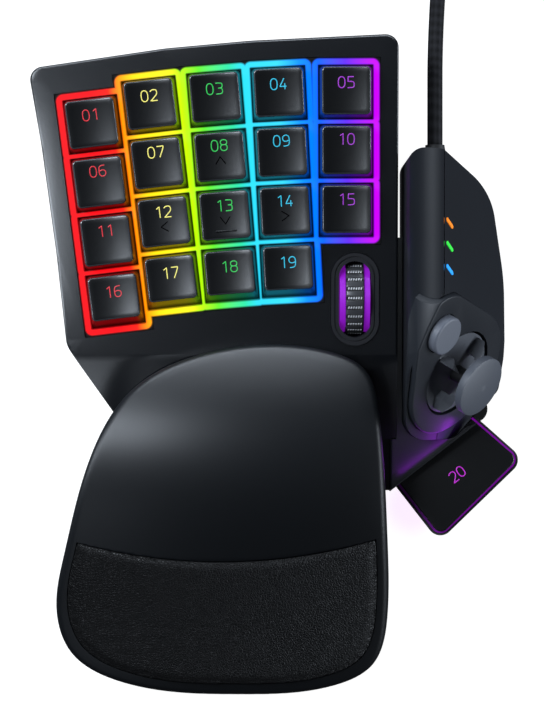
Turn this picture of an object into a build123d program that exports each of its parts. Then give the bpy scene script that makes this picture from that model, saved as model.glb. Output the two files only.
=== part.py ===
# A left-hand gaming keypad: nineteen keys on a tilted deck, a scroll wheel, a domed palm rest that slides
# out, and a thumb pod with a push button, a tilting eight-way pad, a lift-off stick and a twentieth key.
# X runs to the user's right, Y away from the user and Z up. The rubber feet stand on Z = 0, and the origin
# is under the middle of the keypad.

from math import atan2, cos, degrees, pi, radians, sin, sqrt, tan
import os

from build123d import *

# Housing
wall = 2.0
floor_thickness = 2.0
foot_height = 1.8
foot_pocket = 0.6
foot_width = 9.0
foot_length = 24.0
seam_gap = 0.15
run_gap = 0.3
overrun = 1.0

# Key deck, measured in its own tilted plane
deck_tilt = 5.0
deck_height = 32.0
deck_centre_y = 50.0
deck_skin = 2.2
deck_side_depth = 10.0
deck_corner = 4.0
deck_edge_round = 0.8
deck_outline_shares = (
    (-3.98, 2.30), (-1.82, 2.64), (-0.48, 2.77), (1.865, 2.89), (1.865, -4.01),
    (-2.38, -4.01), (-3.40, -2.40), (-3.555, -0.80), (-3.78, 1.03),
)
deck_corner_shares = (1.0, 15.0, 15.0, 1.0, 0.25, 1.5, 2.0, 20.0, 20.0)
apron_start = 46.0
apron_length = 26.0
apron_drop = 8.0

# Keys
key_row_step = 17.95
key_column_step = 19.3
row_gap = 1.95
column_gap = 3.1
column_turns = (7.0, 6.6, 4.7, 3.0, 0.3)
column_rows = (4, 4, 4, 4, 3)
column_x_shares = (-2.960, -2.041, -1.022, -0.023, 1.032)
column_y_shares = (1.362, 1.684, 1.799, 1.880, 1.910)
key_travel = 3.5
key_rise = 6.0
skirt_depth = 1.2
keycap_wall = 1.1
keycap_roof = 1.5
keycap_corner = 1.3
keycap_edge_round = 0.45
keycap_side_draft = 0.7
keycap_back_draft = 0.4
row_front_drafts = (1.2, 1.1, 1.2, 2.4)
row_slopes = (3.0, 0.5, -1.5, -4.0)
dish_depth = 0.7
stem_radius = 2.75
hook_reach = 0.6
hook_height = 0.7

# Light guide, switch plate, rubber domes and main board, stacked under the deck
light_margin = 2.6
light_rim = 1.2
light_top_depth = 0.6
light_flange = 1.6
press_clearance = 0.7
plate_thickness = 1.6
sleeve_wall = 1.2
sleeve_top_gap = 1.7
sleeve_below = 1.0
plate_rim_wall = 1.4
dome_height = 3.9
dome_foot_radius = 4.6
dome_top_radius = 2.4
dome_wall = 0.7
sheet_thickness = 0.8
board_thickness = 1.6
led_size = 1.6
led_height = 0.7
led_from_stem = 6.6

# Screws that hold the housing together
screw_radius = 1.1
screw_head_radius = 2.1
screw_head_height = 1.6
screw_bite = 5.0
deck_screw_reach = 2.8
boss_radius = 3.0
post_radius = 3.4

# Scroll wheel
wheel_radius = 11.5
wheel_sink = 8.3
wheel_width = 9.2
wheel_beside_key = 2.75
bezel_below_key = 13.1
tyre_width = 5.6
tyre_depth = 2.2
rim_drop = 0.9
tyre_ribs = 24
groove_width = 0.9
groove_depth = 0.5
axle_radius = 1.5
axle_clearance = 0.05
wheel_side_gap = 0.4
wheel_base_gap = 0.8
cheek_thickness = 1.4
cheek_above_axle = 3.2
cheek_half_length = 5.0
cradle_base = 1.2
cradle_post_radius = 2.4
wheel_press = 0.6
bezel_width = 14.6
bezel_length = 28.4
bezel_side_width = 2.4
bezel_end_width = 2.5
bezel_rise = 0.5
bezel_groove = 0.5
bezel_groove_inset = 1.0
bezel_tab = 1.0
bezel_tab_thickness = 1.2

# Thumb pod
pod_width = 31.9
pod_front = -22.0
pod_length = 88.1
pod_height = 58.0
pod_seat = 12.0
pod_shoulder = 10.4
pod_crease = 10.6
pod_facet_angle = 62.0
pod_wall = 1.8
crease_gap = 0.2
side_slot = 1.9
side_slot_end_y = 40.4
pod_plan_shares = (
    (0.0, 0.0), (0.0, 1.0), (0.313, 0.990), (0.840, 0.866), (0.990, 0.560), (1.0, 0.279),
    (0.953, 0.170), (0.50, 0.0),
)
pod_corner = 4.5
pod_corner_shares = (1.5, 1.0, 0.8, 4.0, 15.0, 6.0, 1.0, 1.5)

# Control panel at the pod's lower end, and what sits in it
panel_tilt = 57.0
panel_heading = -31.0
pad_from_left = 16.0
pad_from_front = 20.5
pad_below_top = 24.0
panel_thickness = 2.4
panel_depth = 8.0
panel_main_radius = 20.6
panel_top_radius = 11.3
panel_raise = 1.2
facet_step = 1.6
button_side = 7.4
button_up = 20.4
pad_hole_radius = 14.2
pad_radius = 13.4
pad_top_drop = 0.6
pad_rim_thickness = 1.6
pad_core_thickness = 2.6
pad_core_radius = 11.0
lobe_inner_radius = 6.2
lobe_outer_radius = 12.6
lobe_width = 9.4
lobe_height = 3.0
lobe_valley = 0.9
hub_radius = 2.1
pivot_depth = 5.8
gimbal_inner_radius = 2.8
gimbal_outer_radius = 4.4
gimbal_height = 2.0
trunnion_radius = 0.6
trunnion_clearance = 0.05
ear_gap = 0.4
ear_thickness = 1.4
ear_width = 3.0
ear_above_pivot = 1.1
bracket_floor_radius = 10.2
bracket_floor_depth = 9.4
bracket_wall = 0.9
bracket_mouth_depth = 5.0
pad_board_thickness = 0.8
pad_board_radius = 9.2
pad_foot_radius = 1.0
pad_foot_place = 7.4
stick_radius = 9.5
stick_thickness = 3.2
stick_top = 10.5
stick_crown = 0.9
stick_stem_radius = 2.6
stick_pin_radius = 1.3
stick_pin_length = 4.0
socket_clearance = 0.06
button_radius = 6.1
button_gap = 0.35
button_rise = 2.6
button_flange = 0.7
button_flange_thickness = 0.8
button_travel = 0.6
button_edge_round = 0.8
button_cup_depth = 6.0
button_cup_wall = 0.9
light_slot_length = 5.2
light_slot_width = 1.1
light_slot_turn = 60.0
light_step = 6.9
light_first_y = 43.3
light_side = 3.6
light_proud = 0.15

# Twentieth key, in a frame set along the sloping front edge of the housing
thumb_x = 48.0
thumb_y = -25.3
thumb_turn = 37.9
thumb_left = 15.0
thumb_right = 19.0
thumb_right_inner = 15.2
thumb_depth = 22.8
thumb_depth_right = 18.8
thumb_corner = 2.6
thumb_top = 11.8
thumb_cap_height = 3.0
thumb_roof = 1.6
thumb_wall = 1.3
thumb_light_thickness = 1.0
thumb_light_reach = 0.7
thumb_rim_reach = 1.5
thumb_lever_thickness = 2.0
thumb_pivot_inside = 5.4
thumb_pin_radius = 1.25
thumb_barrel_radius = 2.4
thumb_barrel_half = 8.6
thumb_ear = 2.0

# Cover between the deck and the pod
bridge_below_deck = 9.0
bridge_drop = 6.6
bridge_skin = 2.2
bridge_tip_x = 34.2
bridge_tip_y = -38.4
bridge_right_x = 61.5
bridge_right_y = -17.0

# Palm rest
palm_left = -69.5
palm_right = 33.4
palm_back = 7.4
palm_front = -101.6
palm_outline_shares = (
    (0.643, 1.0), (0.44, 0.972), (0.236, 0.871), (0.118, 0.69), (0.03, 0.409), (0.0, 0.25), (0.04, 0.12),
    (0.20, 0.032), (0.553, 0.0), (0.83, 0.02), (0.955, 0.08), (1.0, 0.23), (0.995, 0.45), (0.968, 0.80),
    (0.925, 0.93), (0.82, 0.98),
)
palm_wall = 2.6
palm_edge_round = 3.0
palm_section_shares = (1.12, 0.93, 0.70, 0.42, 0.20, -0.08)
palm_top_heights = (31.5, 41.5, 47.5, 38.5, 27.0, 13.0)
palm_side_drop = 13.0
palm_side_overhang = 12.0
palm_over_deck = 1.0
palm_behind_deck = 0.6
cushion_inset = 3.6
cushion_rise = 2.4
cushion_sink = 1.2
cushion_back_y = -50.5
cushion_dip = 8.0
tongue_width = 46.0
tongue_thickness = 2.5
tongue_x = -14.0
tongue_into_tray = 26.0
tongue_under_palm = 44.0
rail_wall = 2.0
rail_lip = 1.2
latch_width = 12.0
latch_length = 20.0
latch_thickness = 1.4
latch_travel = 2.5
latch_y = -34.0

# Cord, its coil, its tie and the plug on its end
cord_diameter = 4.8
cord_exit_x = 48.7
cord_exit_z = 7.9
gland_radius = 3.6
gland_tip_radius = 3.0
gland_collar_radius = 4.0
gland_collar = 3.0
gland_inside = 9.6
gland_outside = 4.0
coil_outer_radius = 33.5
coil_step = 5.5
coil_layers = 4
coil_turns_in_a_layer = 2.5
coil_climb_turns = 0.5
coil_centre_x = 17.0
coil_centre_y = 160.0
coil_quarters = 4
coil_lift = 0.8
tie_width = 12.0
tie_thickness = 0.55
tie_gap = 0.12
tie_corner = 1.2
tie_angle = 200.0
plug_length = 24.0
plug_width = 15.6
plug_height = 8.0
plug_corner = 2.0
plug_end_round = 0.8
plug_relief = 9.0
plug_relief_width = 6.0
plug_relief_end_width = 12.0
plug_relief_end_height = 7.2
plug_shell_length = 18.8
plug_shell_width = 12.0
plug_shell_height = 4.5
plug_shell_wall = 0.35
plug_tongue_height = 1.9
plug_window = 2.0
plug_window_step = 5.6
plug_window_place = 12.4

os.makedirs("parts", exist_ok=True)




# Places worked out from the sizes above
key_width = key_column_step - column_gap
key_length = key_row_step - row_gap
last_column = len(column_rows) - 1
cos_tilt = cos(radians(deck_tilt))
sin_tilt = sin(radians(deck_tilt))
deck_plane = Plane(origin=(0, deck_centre_y, deck_height), x_dir=(1, 0, 0), z_dir=(0, -sin_tilt, cos_tilt))
apron_angle = degrees(atan2(apron_drop, apron_length))
apron_plane = Plane(deck_plane * Location((0, -apron_start, 0), (apron_angle, 0, 0)))
deck_points = [
    (x * key_column_step, deck_centre_y + y * key_row_step) for x, y in deck_outline_shares
]
deck_radii = [share * deck_corner for share in deck_corner_shares]
deck_right = deck_points[3][0]
deck_front = deck_points[4][1]
pod_left = deck_right + side_slot
tall = deck_height + pod_height
tray_floor = foot_height + floor_thickness

# Depths under the deck, along its normal
light_under = deck_skin + light_flange
plate_top = skirt_depth + key_travel + press_clearance
plate_under = plate_top + plate_thickness
sleeve_end = plate_under + sleeve_below
stem_end = sleeve_end + run_gap + hook_height
dome_top = stem_end + run_gap
sheet_top = dome_top + dome_height
board_top = sheet_top + sheet_thickness
board_under = board_top + board_thickness


def key_location(column, row):
    """Where a key stands on the deck: its column's head, moved down the turned column."""
    turn = radians(column_turns[column])
    x = column_x_shares[column] * key_column_step + row * key_row_step * sin(turn)
    y = column_y_shares[column] * key_row_step - row * key_row_step * cos(turn)
    return Location((x, y, 0), (0, 0, column_turns[column]))


key_places = [
    (row, key_location(column, row)) for row in range(max(column_rows))
    for column in range(len(column_rows)) if row < column_rows[column]
]


def key_block(margin, depth):
    """The stepped outline round all the keys, one turned rectangle for each column."""
    with BuildSketch(deck_plane.offset(-depth)) as block:
        for column, rows in enumerate(column_rows):
            with Locations(key_location(column, (rows - 1) / 2)):
                Rectangle(key_width + 2 * margin, key_length + (rows - 1) * key_row_step + 2 * margin)
    return block.sketch


def deck_outline(inset):
    """The housing's outline in plan, drawn in by inset or grown by a negative one."""
    with BuildSketch() as outline:
        with BuildLine():
            FilletPolyline(*deck_points, radius=deck_radii, close=True)
        make_face()
        if inset:
            offset(amount=-inset)
    return outline.sketch


def deck_form(inset, skin):
    """The housing under the key deck: its plan cut by the deck and by the apron that falls to the front."""
    with BuildPart() as form:
        extrude(deck_outline(inset), amount=tall)
        split(bisect_by=deck_plane.offset(-skin), keep=Keep.BOTTOM)
        split(bisect_by=apron_plane.offset(-skin), keep=Keep.BOTTOM)
    return form.part


# Corners of the board stack where its screws go, each between four keys
screw_pairs = (((0, 0), (1, 1)), ((0, 2), (1, 3)), ((3, 0), (4, 1)), ((2, 2), (3, 3)))
stack_points = []
for (column_a, row_a), (column_b, row_b) in screw_pairs:
    middle = (key_location(column_a, row_a).position + key_location(column_b, row_b).position) / 2
    stack_points.append((middle.X, middle.Y))
stack_locations = [Location((x, y, 0)) for x, y in stack_points]

# Plain keycaps: a drafted, hollow cap with a dished top, on a round stem that ends in a snap hook
def keycap_profile(plane, row, height, inset):
    """One level of a cap: the draft draws each side in as the cap rises."""
    share = (height + skirt_depth) / (key_rise + skirt_depth)
    front = row_front_drafts[row] * share + inset
    back = keycap_back_draft * share + inset
    side = keycap_side_draft * share + inset
    with BuildSketch(plane.offset(height)) as level:
        with Locations((0, (front - back) / 2)):
            RectangleRounded(key_width - 2 * side, key_length - front - back, keycap_corner)
    return level.sketch


dish_radius = (key_width**2 / 4 + dish_depth**2) / (2 * dish_depth)
for number, (row, place) in enumerate(key_places, start=1):
    key_plane = Plane(deck_plane * place)
    inside = key_rise - keycap_roof
    levels = [keycap_profile(key_plane, row, height, 0) for height in (-skirt_depth, key_rise)]
    hollows = [keycap_profile(key_plane, row, height, keycap_wall) for height in (-skirt_depth, inside)]
    axis_plane = Plane(key_plane * Location((0, 0, key_rise - dish_depth + dish_radius), (90, 0, 0)))
    dish_plane = Plane(axis_plane.location * Location((0, 0, 0), (row_slopes[row], 0, 0)))
    with BuildPart() as keycap:
        loft(levels)
        with BuildSketch(dish_plane):
            Circle(dish_radius)
        extrude(amount=key_length, both=True, mode=Mode.SUBTRACT)
        loft(hollows, mode=Mode.SUBTRACT)
        with BuildSketch(key_plane.offset(inside)):
            Circle(stem_radius)
        extrude(amount=-(inside + stem_end))
        with BuildSketch(key_plane.offset(-stem_end)):
            Circle(stem_radius + hook_reach)
        extrude(amount=hook_height)
    keycap.part.label = f"keycap_{number:02d}"
    export_step(keycap.part, f"parts/keycap_{number:02d}.step")

# Light guide: a clear slab with a hole for every key, flush in the deck's window, its flange under the deck
with BuildPart() as light_guide:
    extrude(key_block(light_margin - seam_gap, light_under), amount=light_under - light_top_depth)
    extrude(key_block(light_margin + light_rim, light_under), amount=light_flange)
    extrude(key_block(light_margin + light_rim, plate_top), amount=plate_top - light_under)
    extrude(key_block(light_margin, plate_top), amount=plate_top - light_under, mode=Mode.SUBTRACT)
    for row, place in key_places:
        with BuildSketch(Plane(deck_plane * place)):
            Rectangle(key_width + 2 * run_gap, key_length + 2 * run_gap)
        extrude(amount=plate_top, both=True, mode=Mode.SUBTRACT)
light_guide.part.label = "light_guide"
export_step(light_guide.part, "parts/light_guide.step")

# Switch plate: a sleeve for every stem, a wall round its edge down to the dome sheet, and four screw bosses
plate_edge = light_margin + light_rim
with BuildPart() as switch_plate:
    extrude(key_block(plate_edge, plate_under), amount=plate_thickness)
    extrude(key_block(plate_edge, sheet_top), amount=sheet_top - plate_under)
    inner_block = key_block(plate_edge - plate_rim_wall, sheet_top)
    extrude(inner_block, amount=sheet_top - plate_under, mode=Mode.SUBTRACT)
    sleeve_height = sleeve_end + key_rise - keycap_roof - key_travel - sleeve_top_gap
    with BuildSketch(deck_plane.offset(-sleeve_end)):
        with Locations([place for row, place in key_places]):
            Circle(stem_radius + run_gap + sleeve_wall)
    extrude(amount=sleeve_height)
    with BuildSketch(deck_plane.offset(-sheet_top)):
        with Locations(stack_locations):
            Circle(boss_radius)
    extrude(amount=sheet_top - plate_under)
    with BuildSketch(deck_plane):
        with Locations([place for row, place in key_places]):
            Circle(stem_radius + run_gap)
    extrude(amount=sleeve_end, both=True, mode=Mode.SUBTRACT)
    with BuildSketch(deck_plane.offset(-sheet_top)):
        with Locations(stack_locations):
            Circle(screw_radius)
    extrude(amount=screw_bite, mode=Mode.SUBTRACT)
switch_plate.part.label = "switch_plate"
export_step(switch_plate.part, "parts/switch_plate.step")

# Rubber sheet: one hollow dome under every stem, with windows for the lights and holes for the screws
led_locations = [place * Location((0, led_from_stem, 0)) for row, place in key_places]
dome_outer = [(0, 0), (dome_foot_radius, 0), (dome_top_radius, dome_height), (0, dome_height)]
dome_roof = dome_height - dome_wall
dome_inner = [
    (0, 0), (dome_foot_radius - dome_wall, 0), (dome_top_radius - dome_wall, dome_roof), (0, dome_roof),
]
with BuildPart() as dome:
    for profile, mode in ((dome_outer, Mode.ADD), (dome_inner, Mode.SUBTRACT)):
        with BuildSketch(Plane.XZ):
            with BuildLine():
                Polyline(*profile, close=True)
            make_face()
        revolve(axis=Axis.Z, mode=mode)
with BuildPart() as dome_sheet:
    extrude(key_block(plate_edge - seam_gap, board_top), amount=sheet_thickness)
    with BuildSketch(deck_plane.offset(-board_top)):
        with Locations([place for row, place in key_places]):
            Circle(dome_foot_radius - dome_wall)
        with Locations(stack_locations):
            Circle(screw_radius + run_gap)
        with Locations(led_locations):
            Rectangle(led_size + 2 * run_gap, led_size + 2 * run_gap)
    extrude(amount=sheet_thickness, mode=Mode.SUBTRACT)
    for row, place in key_places:
        add((Plane(deck_plane * place).offset(-sheet_top)).location * dome.part)
dome_sheet.part.label = "dome_sheet"
export_step(dome_sheet.part, "parts/dome_sheet.step")

# Main board under the sheet, and the small lights on it
with BuildPart() as main_board:
    extrude(key_block(plate_edge - seam_gap, board_under), amount=board_thickness)
    with BuildSketch(deck_plane.offset(-board_under)):
        with Locations(stack_locations):
            Circle(screw_radius + run_gap)
    extrude(amount=board_thickness, mode=Mode.SUBTRACT)
main_board.part.label = "main_board"
export_step(main_board.part, "parts/main_board.step")

with BuildPart() as key_leds:
    with BuildSketch(deck_plane.offset(-board_top)):
        with Locations(led_locations):
            Rectangle(led_size, led_size)
    extrude(amount=led_height)
key_leds.part.label = "key_leds"
export_step(key_leds.part, "parts/key_leds.step")

# Scroll wheel, in a plane over its middle with the axle along X
wheel_column, wheel_row = last_column, column_rows[last_column] - 1
last_key = key_location(wheel_column, wheel_row).position
wheel_x = last_key.X + wheel_beside_key
wheel_y = last_key.Y - bezel_below_key - bezel_length / 2
wheel_plane = Plane(deck_plane * Location((wheel_x, wheel_y, 0)))
axle_plane = Plane(wheel_plane * Location((0, 0, -wheel_sink), (0, 90, 0)))
ring_width = (wheel_width - tyre_width) / 2
cheek_inner = wheel_width / 2 + wheel_side_gap
cheek_outer = cheek_inner + cheek_thickness

with BuildPart() as scroll_tyre:
    with BuildSketch(axle_plane):
        Circle(wheel_radius)
        Circle(wheel_radius - tyre_depth, mode=Mode.SUBTRACT)
        with PolarLocations(wheel_radius, tyre_ribs):
            Rectangle(2 * groove_depth, groove_width, mode=Mode.SUBTRACT)
    extrude(amount=tyre_width / 2, both=True)
scroll_tyre.part.label = "scroll_tyre"
export_step(scroll_tyre.part, "parts/scroll_tyre.step")

with BuildPart() as scroll_hub:
    with BuildSketch(axle_plane):
        Circle(wheel_radius - tyre_depth - seam_gap)
    extrude(amount=wheel_width / 2, both=True)
    for side in (-1, 1):
        with BuildSketch(axle_plane.offset(side * (tyre_width / 2 + seam_gap))):
            Circle(wheel_radius - rim_drop)
        extrude(amount=side * (ring_width - seam_gap))
    with BuildSketch(axle_plane):
        Circle(axle_radius)
    extrude(amount=cheek_outer, both=True)
scroll_hub.part.label = "scroll_hub"
export_step(scroll_hub.part, "parts/scroll_hub.step")

# Cradle: two cheeks on a base plate that clicks down when the wheel is pressed, on a post from the floor
cradle_under = wheel_sink + wheel_radius + wheel_base_gap + cradle_base
with BuildPart() as wheel_cradle:
    with BuildSketch(wheel_plane.offset(-cradle_under)):
        Rectangle(2 * cheek_outer, 2 * cheek_half_length)
    extrude(amount=cradle_base)
    for side in (-1, 1):
        with BuildSketch(wheel_plane.offset(-cradle_under)):
            with Locations((side * (cheek_inner + cheek_outer) / 2, 0)):
                Rectangle(cheek_thickness, 2 * cheek_half_length)
        extrude(amount=cradle_under - wheel_sink + cheek_above_axle)
    with BuildSketch(axle_plane):
        Circle(axle_radius + axle_clearance)
    extrude(amount=cheek_outer, both=True, mode=Mode.SUBTRACT)
wheel_cradle.part.label = "wheel_cradle"
export_step(wheel_cradle.part, "parts/wheel_cradle.step")

# Bezel: a stadium ring in the deck, with a shallow groove round its top and a tab under the deck at each end
bezel_slot_width = bezel_width - 2 * bezel_side_width
bezel_slot_length = bezel_length - 2 * bezel_end_width
with BuildPart() as wheel_bezel:
    with BuildSketch(wheel_plane.offset(-deck_skin)):
        SlotOverall(bezel_length, bezel_width, rotation=90)
    extrude(amount=deck_skin + bezel_rise)
    with BuildSketch(wheel_plane.offset(-deck_skin - bezel_tab_thickness)):
        Rectangle(bezel_slot_width, bezel_length + 2 * bezel_tab)
    extrude(amount=bezel_tab_thickness)
    with BuildSketch(wheel_plane.offset(bezel_rise - bezel_groove)):
        inset = 2 * bezel_groove_inset
        SlotOverall(bezel_length - inset, bezel_width - inset, rotation=90)
        inset += 2 * bezel_groove
        SlotOverall(bezel_length - inset, bezel_width - inset, rotation=90, mode=Mode.SUBTRACT)
    extrude(amount=bezel_groove, mode=Mode.SUBTRACT)
    with BuildSketch(wheel_plane.offset(bezel_rise)):
        SlotOverall(bezel_slot_length, bezel_slot_width, rotation=90)
    extrude(amount=-(bezel_rise + deck_skin + bezel_tab_thickness), mode=Mode.SUBTRACT)
    with BuildSketch(axle_plane):
        Circle(wheel_radius - rim_drop + run_gap)
    extrude(amount=bezel_slot_width / 2, both=True, mode=Mode.SUBTRACT)
wheel_bezel.part.label = "wheel_bezel"
export_step(wheel_bezel.part, "parts/wheel_bezel.step")

# Deck shell: the top half of the housing, with the window for the light guide and the slot for the bezel
seam_plane = deck_plane.offset(-deck_side_depth)
deck_block = deck_form(0, 0)
deck_hollow = deck_form(wall, deck_skin)
deck_core = deck_form(wall / 2, deck_skin / 2)
screw_from_tongue = tongue_width / 2 + run_gap + rail_wall + boss_radius + screw_radius
screw_y = deck_front + apron_length / 2
deck_screws = [Location((tongue_x + side * screw_from_tongue, screw_y, 0)) for side in (-1, 1)]
screw_seam_z = deck_height - ((deck_centre_y - screw_y) * sin_tilt + deck_side_depth) / cos_tilt
with BuildPart() as deck_bosses:
    with BuildSketch():
        with Locations(deck_screws):
            Circle(boss_radius)
            Circle(screw_radius, mode=Mode.SUBTRACT)
    extrude(amount=tall)
    add(deck_core, mode=Mode.INTERSECT)
with BuildPart() as deck_shell:
    add(deck_block)
    fillet(deck_shell.faces().sort_by(Axis.Z)[-1].edges(), radius=deck_edge_round)
    add(deck_hollow, mode=Mode.SUBTRACT)
    add(deck_bosses.part)
    extrude(key_block(light_margin, deck_skin), amount=2 * deck_skin, mode=Mode.SUBTRACT)
    with BuildSketch(wheel_plane.offset(-deck_skin)):
        SlotOverall(bezel_length + 2 * seam_gap, bezel_width + 2 * seam_gap, rotation=90)
    extrude(amount=2 * deck_skin, mode=Mode.SUBTRACT)
    split(bisect_by=seam_plane, keep=Keep.TOP)
deck_shell.part.label = "deck_shell"
export_step(deck_shell.part, "parts/deck_shell.step")

# Pod: a profile with a round inner shoulder and a steep outer facet, inside its own outline in plan
pod_seat_z = pod_seat + seam_gap
crease_x = pod_left + pod_crease
facet_turn = radians(pod_facet_angle)
facet_plane = Plane(
    origin=(crease_x, pod_front, pod_height), x_dir=(0, 1, 0), z_dir=(sin(facet_turn), 0, cos(facet_turn))
)
panel_normal = Vector(sin(radians(panel_tilt)) * cos(radians(panel_heading)),
                      sin(radians(panel_tilt)) * sin(radians(panel_heading)), cos(radians(panel_tilt)))
panel_plane = Plane(
    origin=(pod_left + pad_from_left, pod_front + pad_from_front, pod_height - pad_below_top),
    x_dir=(-sin(radians(panel_heading)), cos(radians(panel_heading)), 0),
    z_dir=panel_normal,
)
panel_axis = Axis(panel_plane.origin, panel_plane.z_dir)


def pod_outline(inset):
    """The pod's outline in plan, drawn in by inset."""
    points = [(pod_left + x * pod_width, pod_front + y * pod_length) for x, y in pod_plan_shares]
    with BuildSketch() as outline:
        with BuildLine():
            FilletPolyline(*points, radius=[share * pod_corner for share in pod_corner_shares], close=True)
        make_face()
        if inset:
            offset(amount=-inset)
    return outline.sketch


def pod_profile(inset, facet_shift):
    """The pod's outline in plan under its round inner shoulder and its steep outer facet."""
    left = pod_left + inset
    top = pod_height - inset
    shoulder = pod_shoulder - inset
    with BuildPart() as form:
        with BuildSketch(Plane.XZ.offset(-pod_front + overrun)) as profile:
            with BuildLine():
                Polyline((left, top - shoulder), (left, 0), (left + pod_width, 0), (left + pod_width, top),
                         (left + shoulder, top))
                RadiusArc((left + shoulder, top), (left, top - shoulder), -shoulder)
            make_face()
        extrude(amount=-(pod_length + 2 * overrun))
        split(bisect_by=facet_plane.offset(facet_shift - inset), keep=Keep.BOTTOM)
    return form.part


def pod_form(inset):
    """The pod's body, its lower end cut back parallel to the control panel."""
    with BuildPart() as form:
        extrude(pod_outline(inset), amount=tall)
        add(pod_profile(inset, 0), mode=Mode.INTERSECT)
        split(bisect_by=panel_plane.offset(-facet_step - inset), keep=Keep.BOTTOM)
        split(bisect_by=Plane.XY.offset(pod_seat_z), keep=Keep.TOP)
    return form.part


def panel_prism(inset, low, high):
    """A block with the control panel's outline, two circles and their tangents, between two levels."""
    with BuildSketch(panel_plane.offset(low)) as outline:
        Circle(panel_main_radius - inset)
        with Locations((button_side + panel_raise, button_up)):
            Circle(panel_top_radius - inset)
        make_hull()
    return extrude(outline.sketch, amount=high - low, mode=Mode.PRIVATE)


def panel_form(inset, top):
    """The control panel's body: its outline, bounded by the raised shoulder and by the pod's plan."""
    with BuildPart() as form:
        add(panel_prism(inset, -panel_depth, top))
        add(pod_profile(inset - panel_raise, panel_depth), mode=Mode.INTERSECT)
        extrude(pod_outline(inset), amount=tall, mode=Mode.INTERSECT)
    return form.part


# Shells of the pod, parted along the crease, with a window for the control panel and slots for three lights
light_slots = []
for index in range(3):
    along = light_first_y - pod_front - index * light_step
    light_slots.append(Plane(facet_plane * Location((along, -light_side, 0), (0, 0, light_slot_turn))))
pod_outer = pod_form(0)
pod_inner = pod_form(pod_wall)
with BuildPart() as pod_body:
    add(pod_outer)
    add(pod_inner, mode=Mode.SUBTRACT)
    add(panel_prism(-seam_gap, -panel_depth - seam_gap, tall), mode=Mode.SUBTRACT)
    for slot_plane in light_slots:
        with BuildSketch(slot_plane):
            SlotOverall(light_slot_length + 2 * seam_gap, light_slot_width + 2 * seam_gap)
        extrude(amount=2 * pod_wall, both=True, mode=Mode.SUBTRACT)
parting = Plane(origin=(crease_x, 0, 0), z_dir=(1, 0, 0))
with BuildPart() as pod_shell_left:
    add(pod_body.part)
    split(bisect_by=parting.offset(-crease_gap), keep=Keep.BOTTOM)
pod_shell_left.part.label = "pod_shell_left"
export_step(pod_shell_left.part, "parts/pod_shell_left.step")

with BuildPart() as pod_shell_right:
    add(pod_body.part)
    split(bisect_by=parting, keep=Keep.TOP)
pod_shell_right.part.label = "pod_shell_right"
export_step(pod_shell_right.part, "parts/pod_shell_right.step")

# Three clear bars that show which profile is on, set in the pod's outer shell
with BuildPart() as profile_lights:
    for slot_plane in light_slots:
        with BuildSketch(slot_plane.offset(-pod_wall)):
            SlotOverall(light_slot_length, light_slot_width)
        extrude(amount=pod_wall + light_proud)
profile_lights.part.label = "profile_lights"
export_step(profile_lights.part, "parts/profile_lights.step")

# Control panel: a deep, hollow cap over the pod's lower end, with a round hole for the pad and one for
# the button
button_place = Location((button_side, button_up, 0))
button_hole_radius = button_radius + button_gap
with BuildPart() as control_panel:
    add(panel_form(0, 0))
    fillet(control_panel.faces().sort_by(panel_axis)[-1].edges(), radius=panel_raise / 2)
    add(panel_form(pod_wall, -panel_thickness), mode=Mode.SUBTRACT)
    with BuildSketch(panel_plane):
        Circle(pad_hole_radius)
        with Locations(button_place):
            Circle(button_hole_radius)
    extrude(amount=panel_thickness, both=True, mode=Mode.SUBTRACT)
control_panel.part.label = "control_panel"
export_step(control_panel.part, "parts/control_panel.step")

# Eight-way pad: a thin disc with a thicker core and a four-lobed faceted crown round a hub on a gimbal
pad_top = panel_plane.offset(-pad_top_drop)
pivot_plane = panel_plane.offset(-pivot_depth)
pin_hole_radius = trunnion_radius + trunnion_clearance
lobe_middle = (lobe_inner_radius + lobe_outer_radius) / 2
with BuildPart() as pad:
    with BuildSketch(pad_top):
        Circle(pad_radius)
    extrude(amount=-pad_rim_thickness)
    with BuildSketch(pad_top):
        Circle(pad_core_radius)
    extrude(amount=-pad_core_thickness)
    for quarter in range(4):
        ridge = Plane(pad_top * Location((0, 0, 0), (0, 0, 90 * quarter)) * Location((0, 0, 0), (90, 0, 90)))
        with BuildSketch(ridge.offset(lobe_inner_radius)):
            with BuildLine():
                Polyline((-lobe_width / 2, 0), (lobe_width / 2, 0), (lobe_width / 4, lobe_height / 2),
                         (-lobe_width / 4, lobe_height / 2), close=True)
            make_face()
        with BuildSketch(ridge.offset(lobe_middle)):
            with BuildLine():
                Polyline((-lobe_width / 2, 0), (lobe_width / 2, 0), (lobe_width / 4, lobe_height),
                         (-lobe_width / 4, lobe_height), close=True)
            make_face()
        with BuildSketch(ridge.offset(lobe_outer_radius)):
            with BuildLine():
                Polyline((-lobe_width / 3, 0), (lobe_width / 3, 0), (lobe_width / 6, lobe_height / 4),
                         (-lobe_width / 6, lobe_height / 4), close=True)
            make_face()
        loft(ruled=True)
    with BuildSketch(pad_top):
        Circle(lobe_inner_radius + lobe_valley)
    extrude(amount=lobe_height, mode=Mode.SUBTRACT)
    with BuildSketch(pad_top):
        Circle(hub_radius)
    extrude(amount=-(pivot_depth - pad_top_drop + gimbal_height / 2))
    with BuildSketch(Plane(pivot_plane * Location((0, 0, 0), (90, 0, 0)))):
        Circle(trunnion_radius)
    extrude(amount=gimbal_outer_radius, both=True)
    with BuildSketch(pad_top.offset(-pad_core_thickness)):
        with PolarLocations(pad_foot_place, 4, start_angle=45):
            Circle(pad_foot_radius)
    extrude(amount=-(pivot_depth - pad_top_drop - pad_core_thickness))
    with BuildSketch(pad_top):
        Circle(stick_pin_radius + socket_clearance)
    extrude(amount=-stick_pin_length - run_gap, mode=Mode.SUBTRACT)
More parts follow.
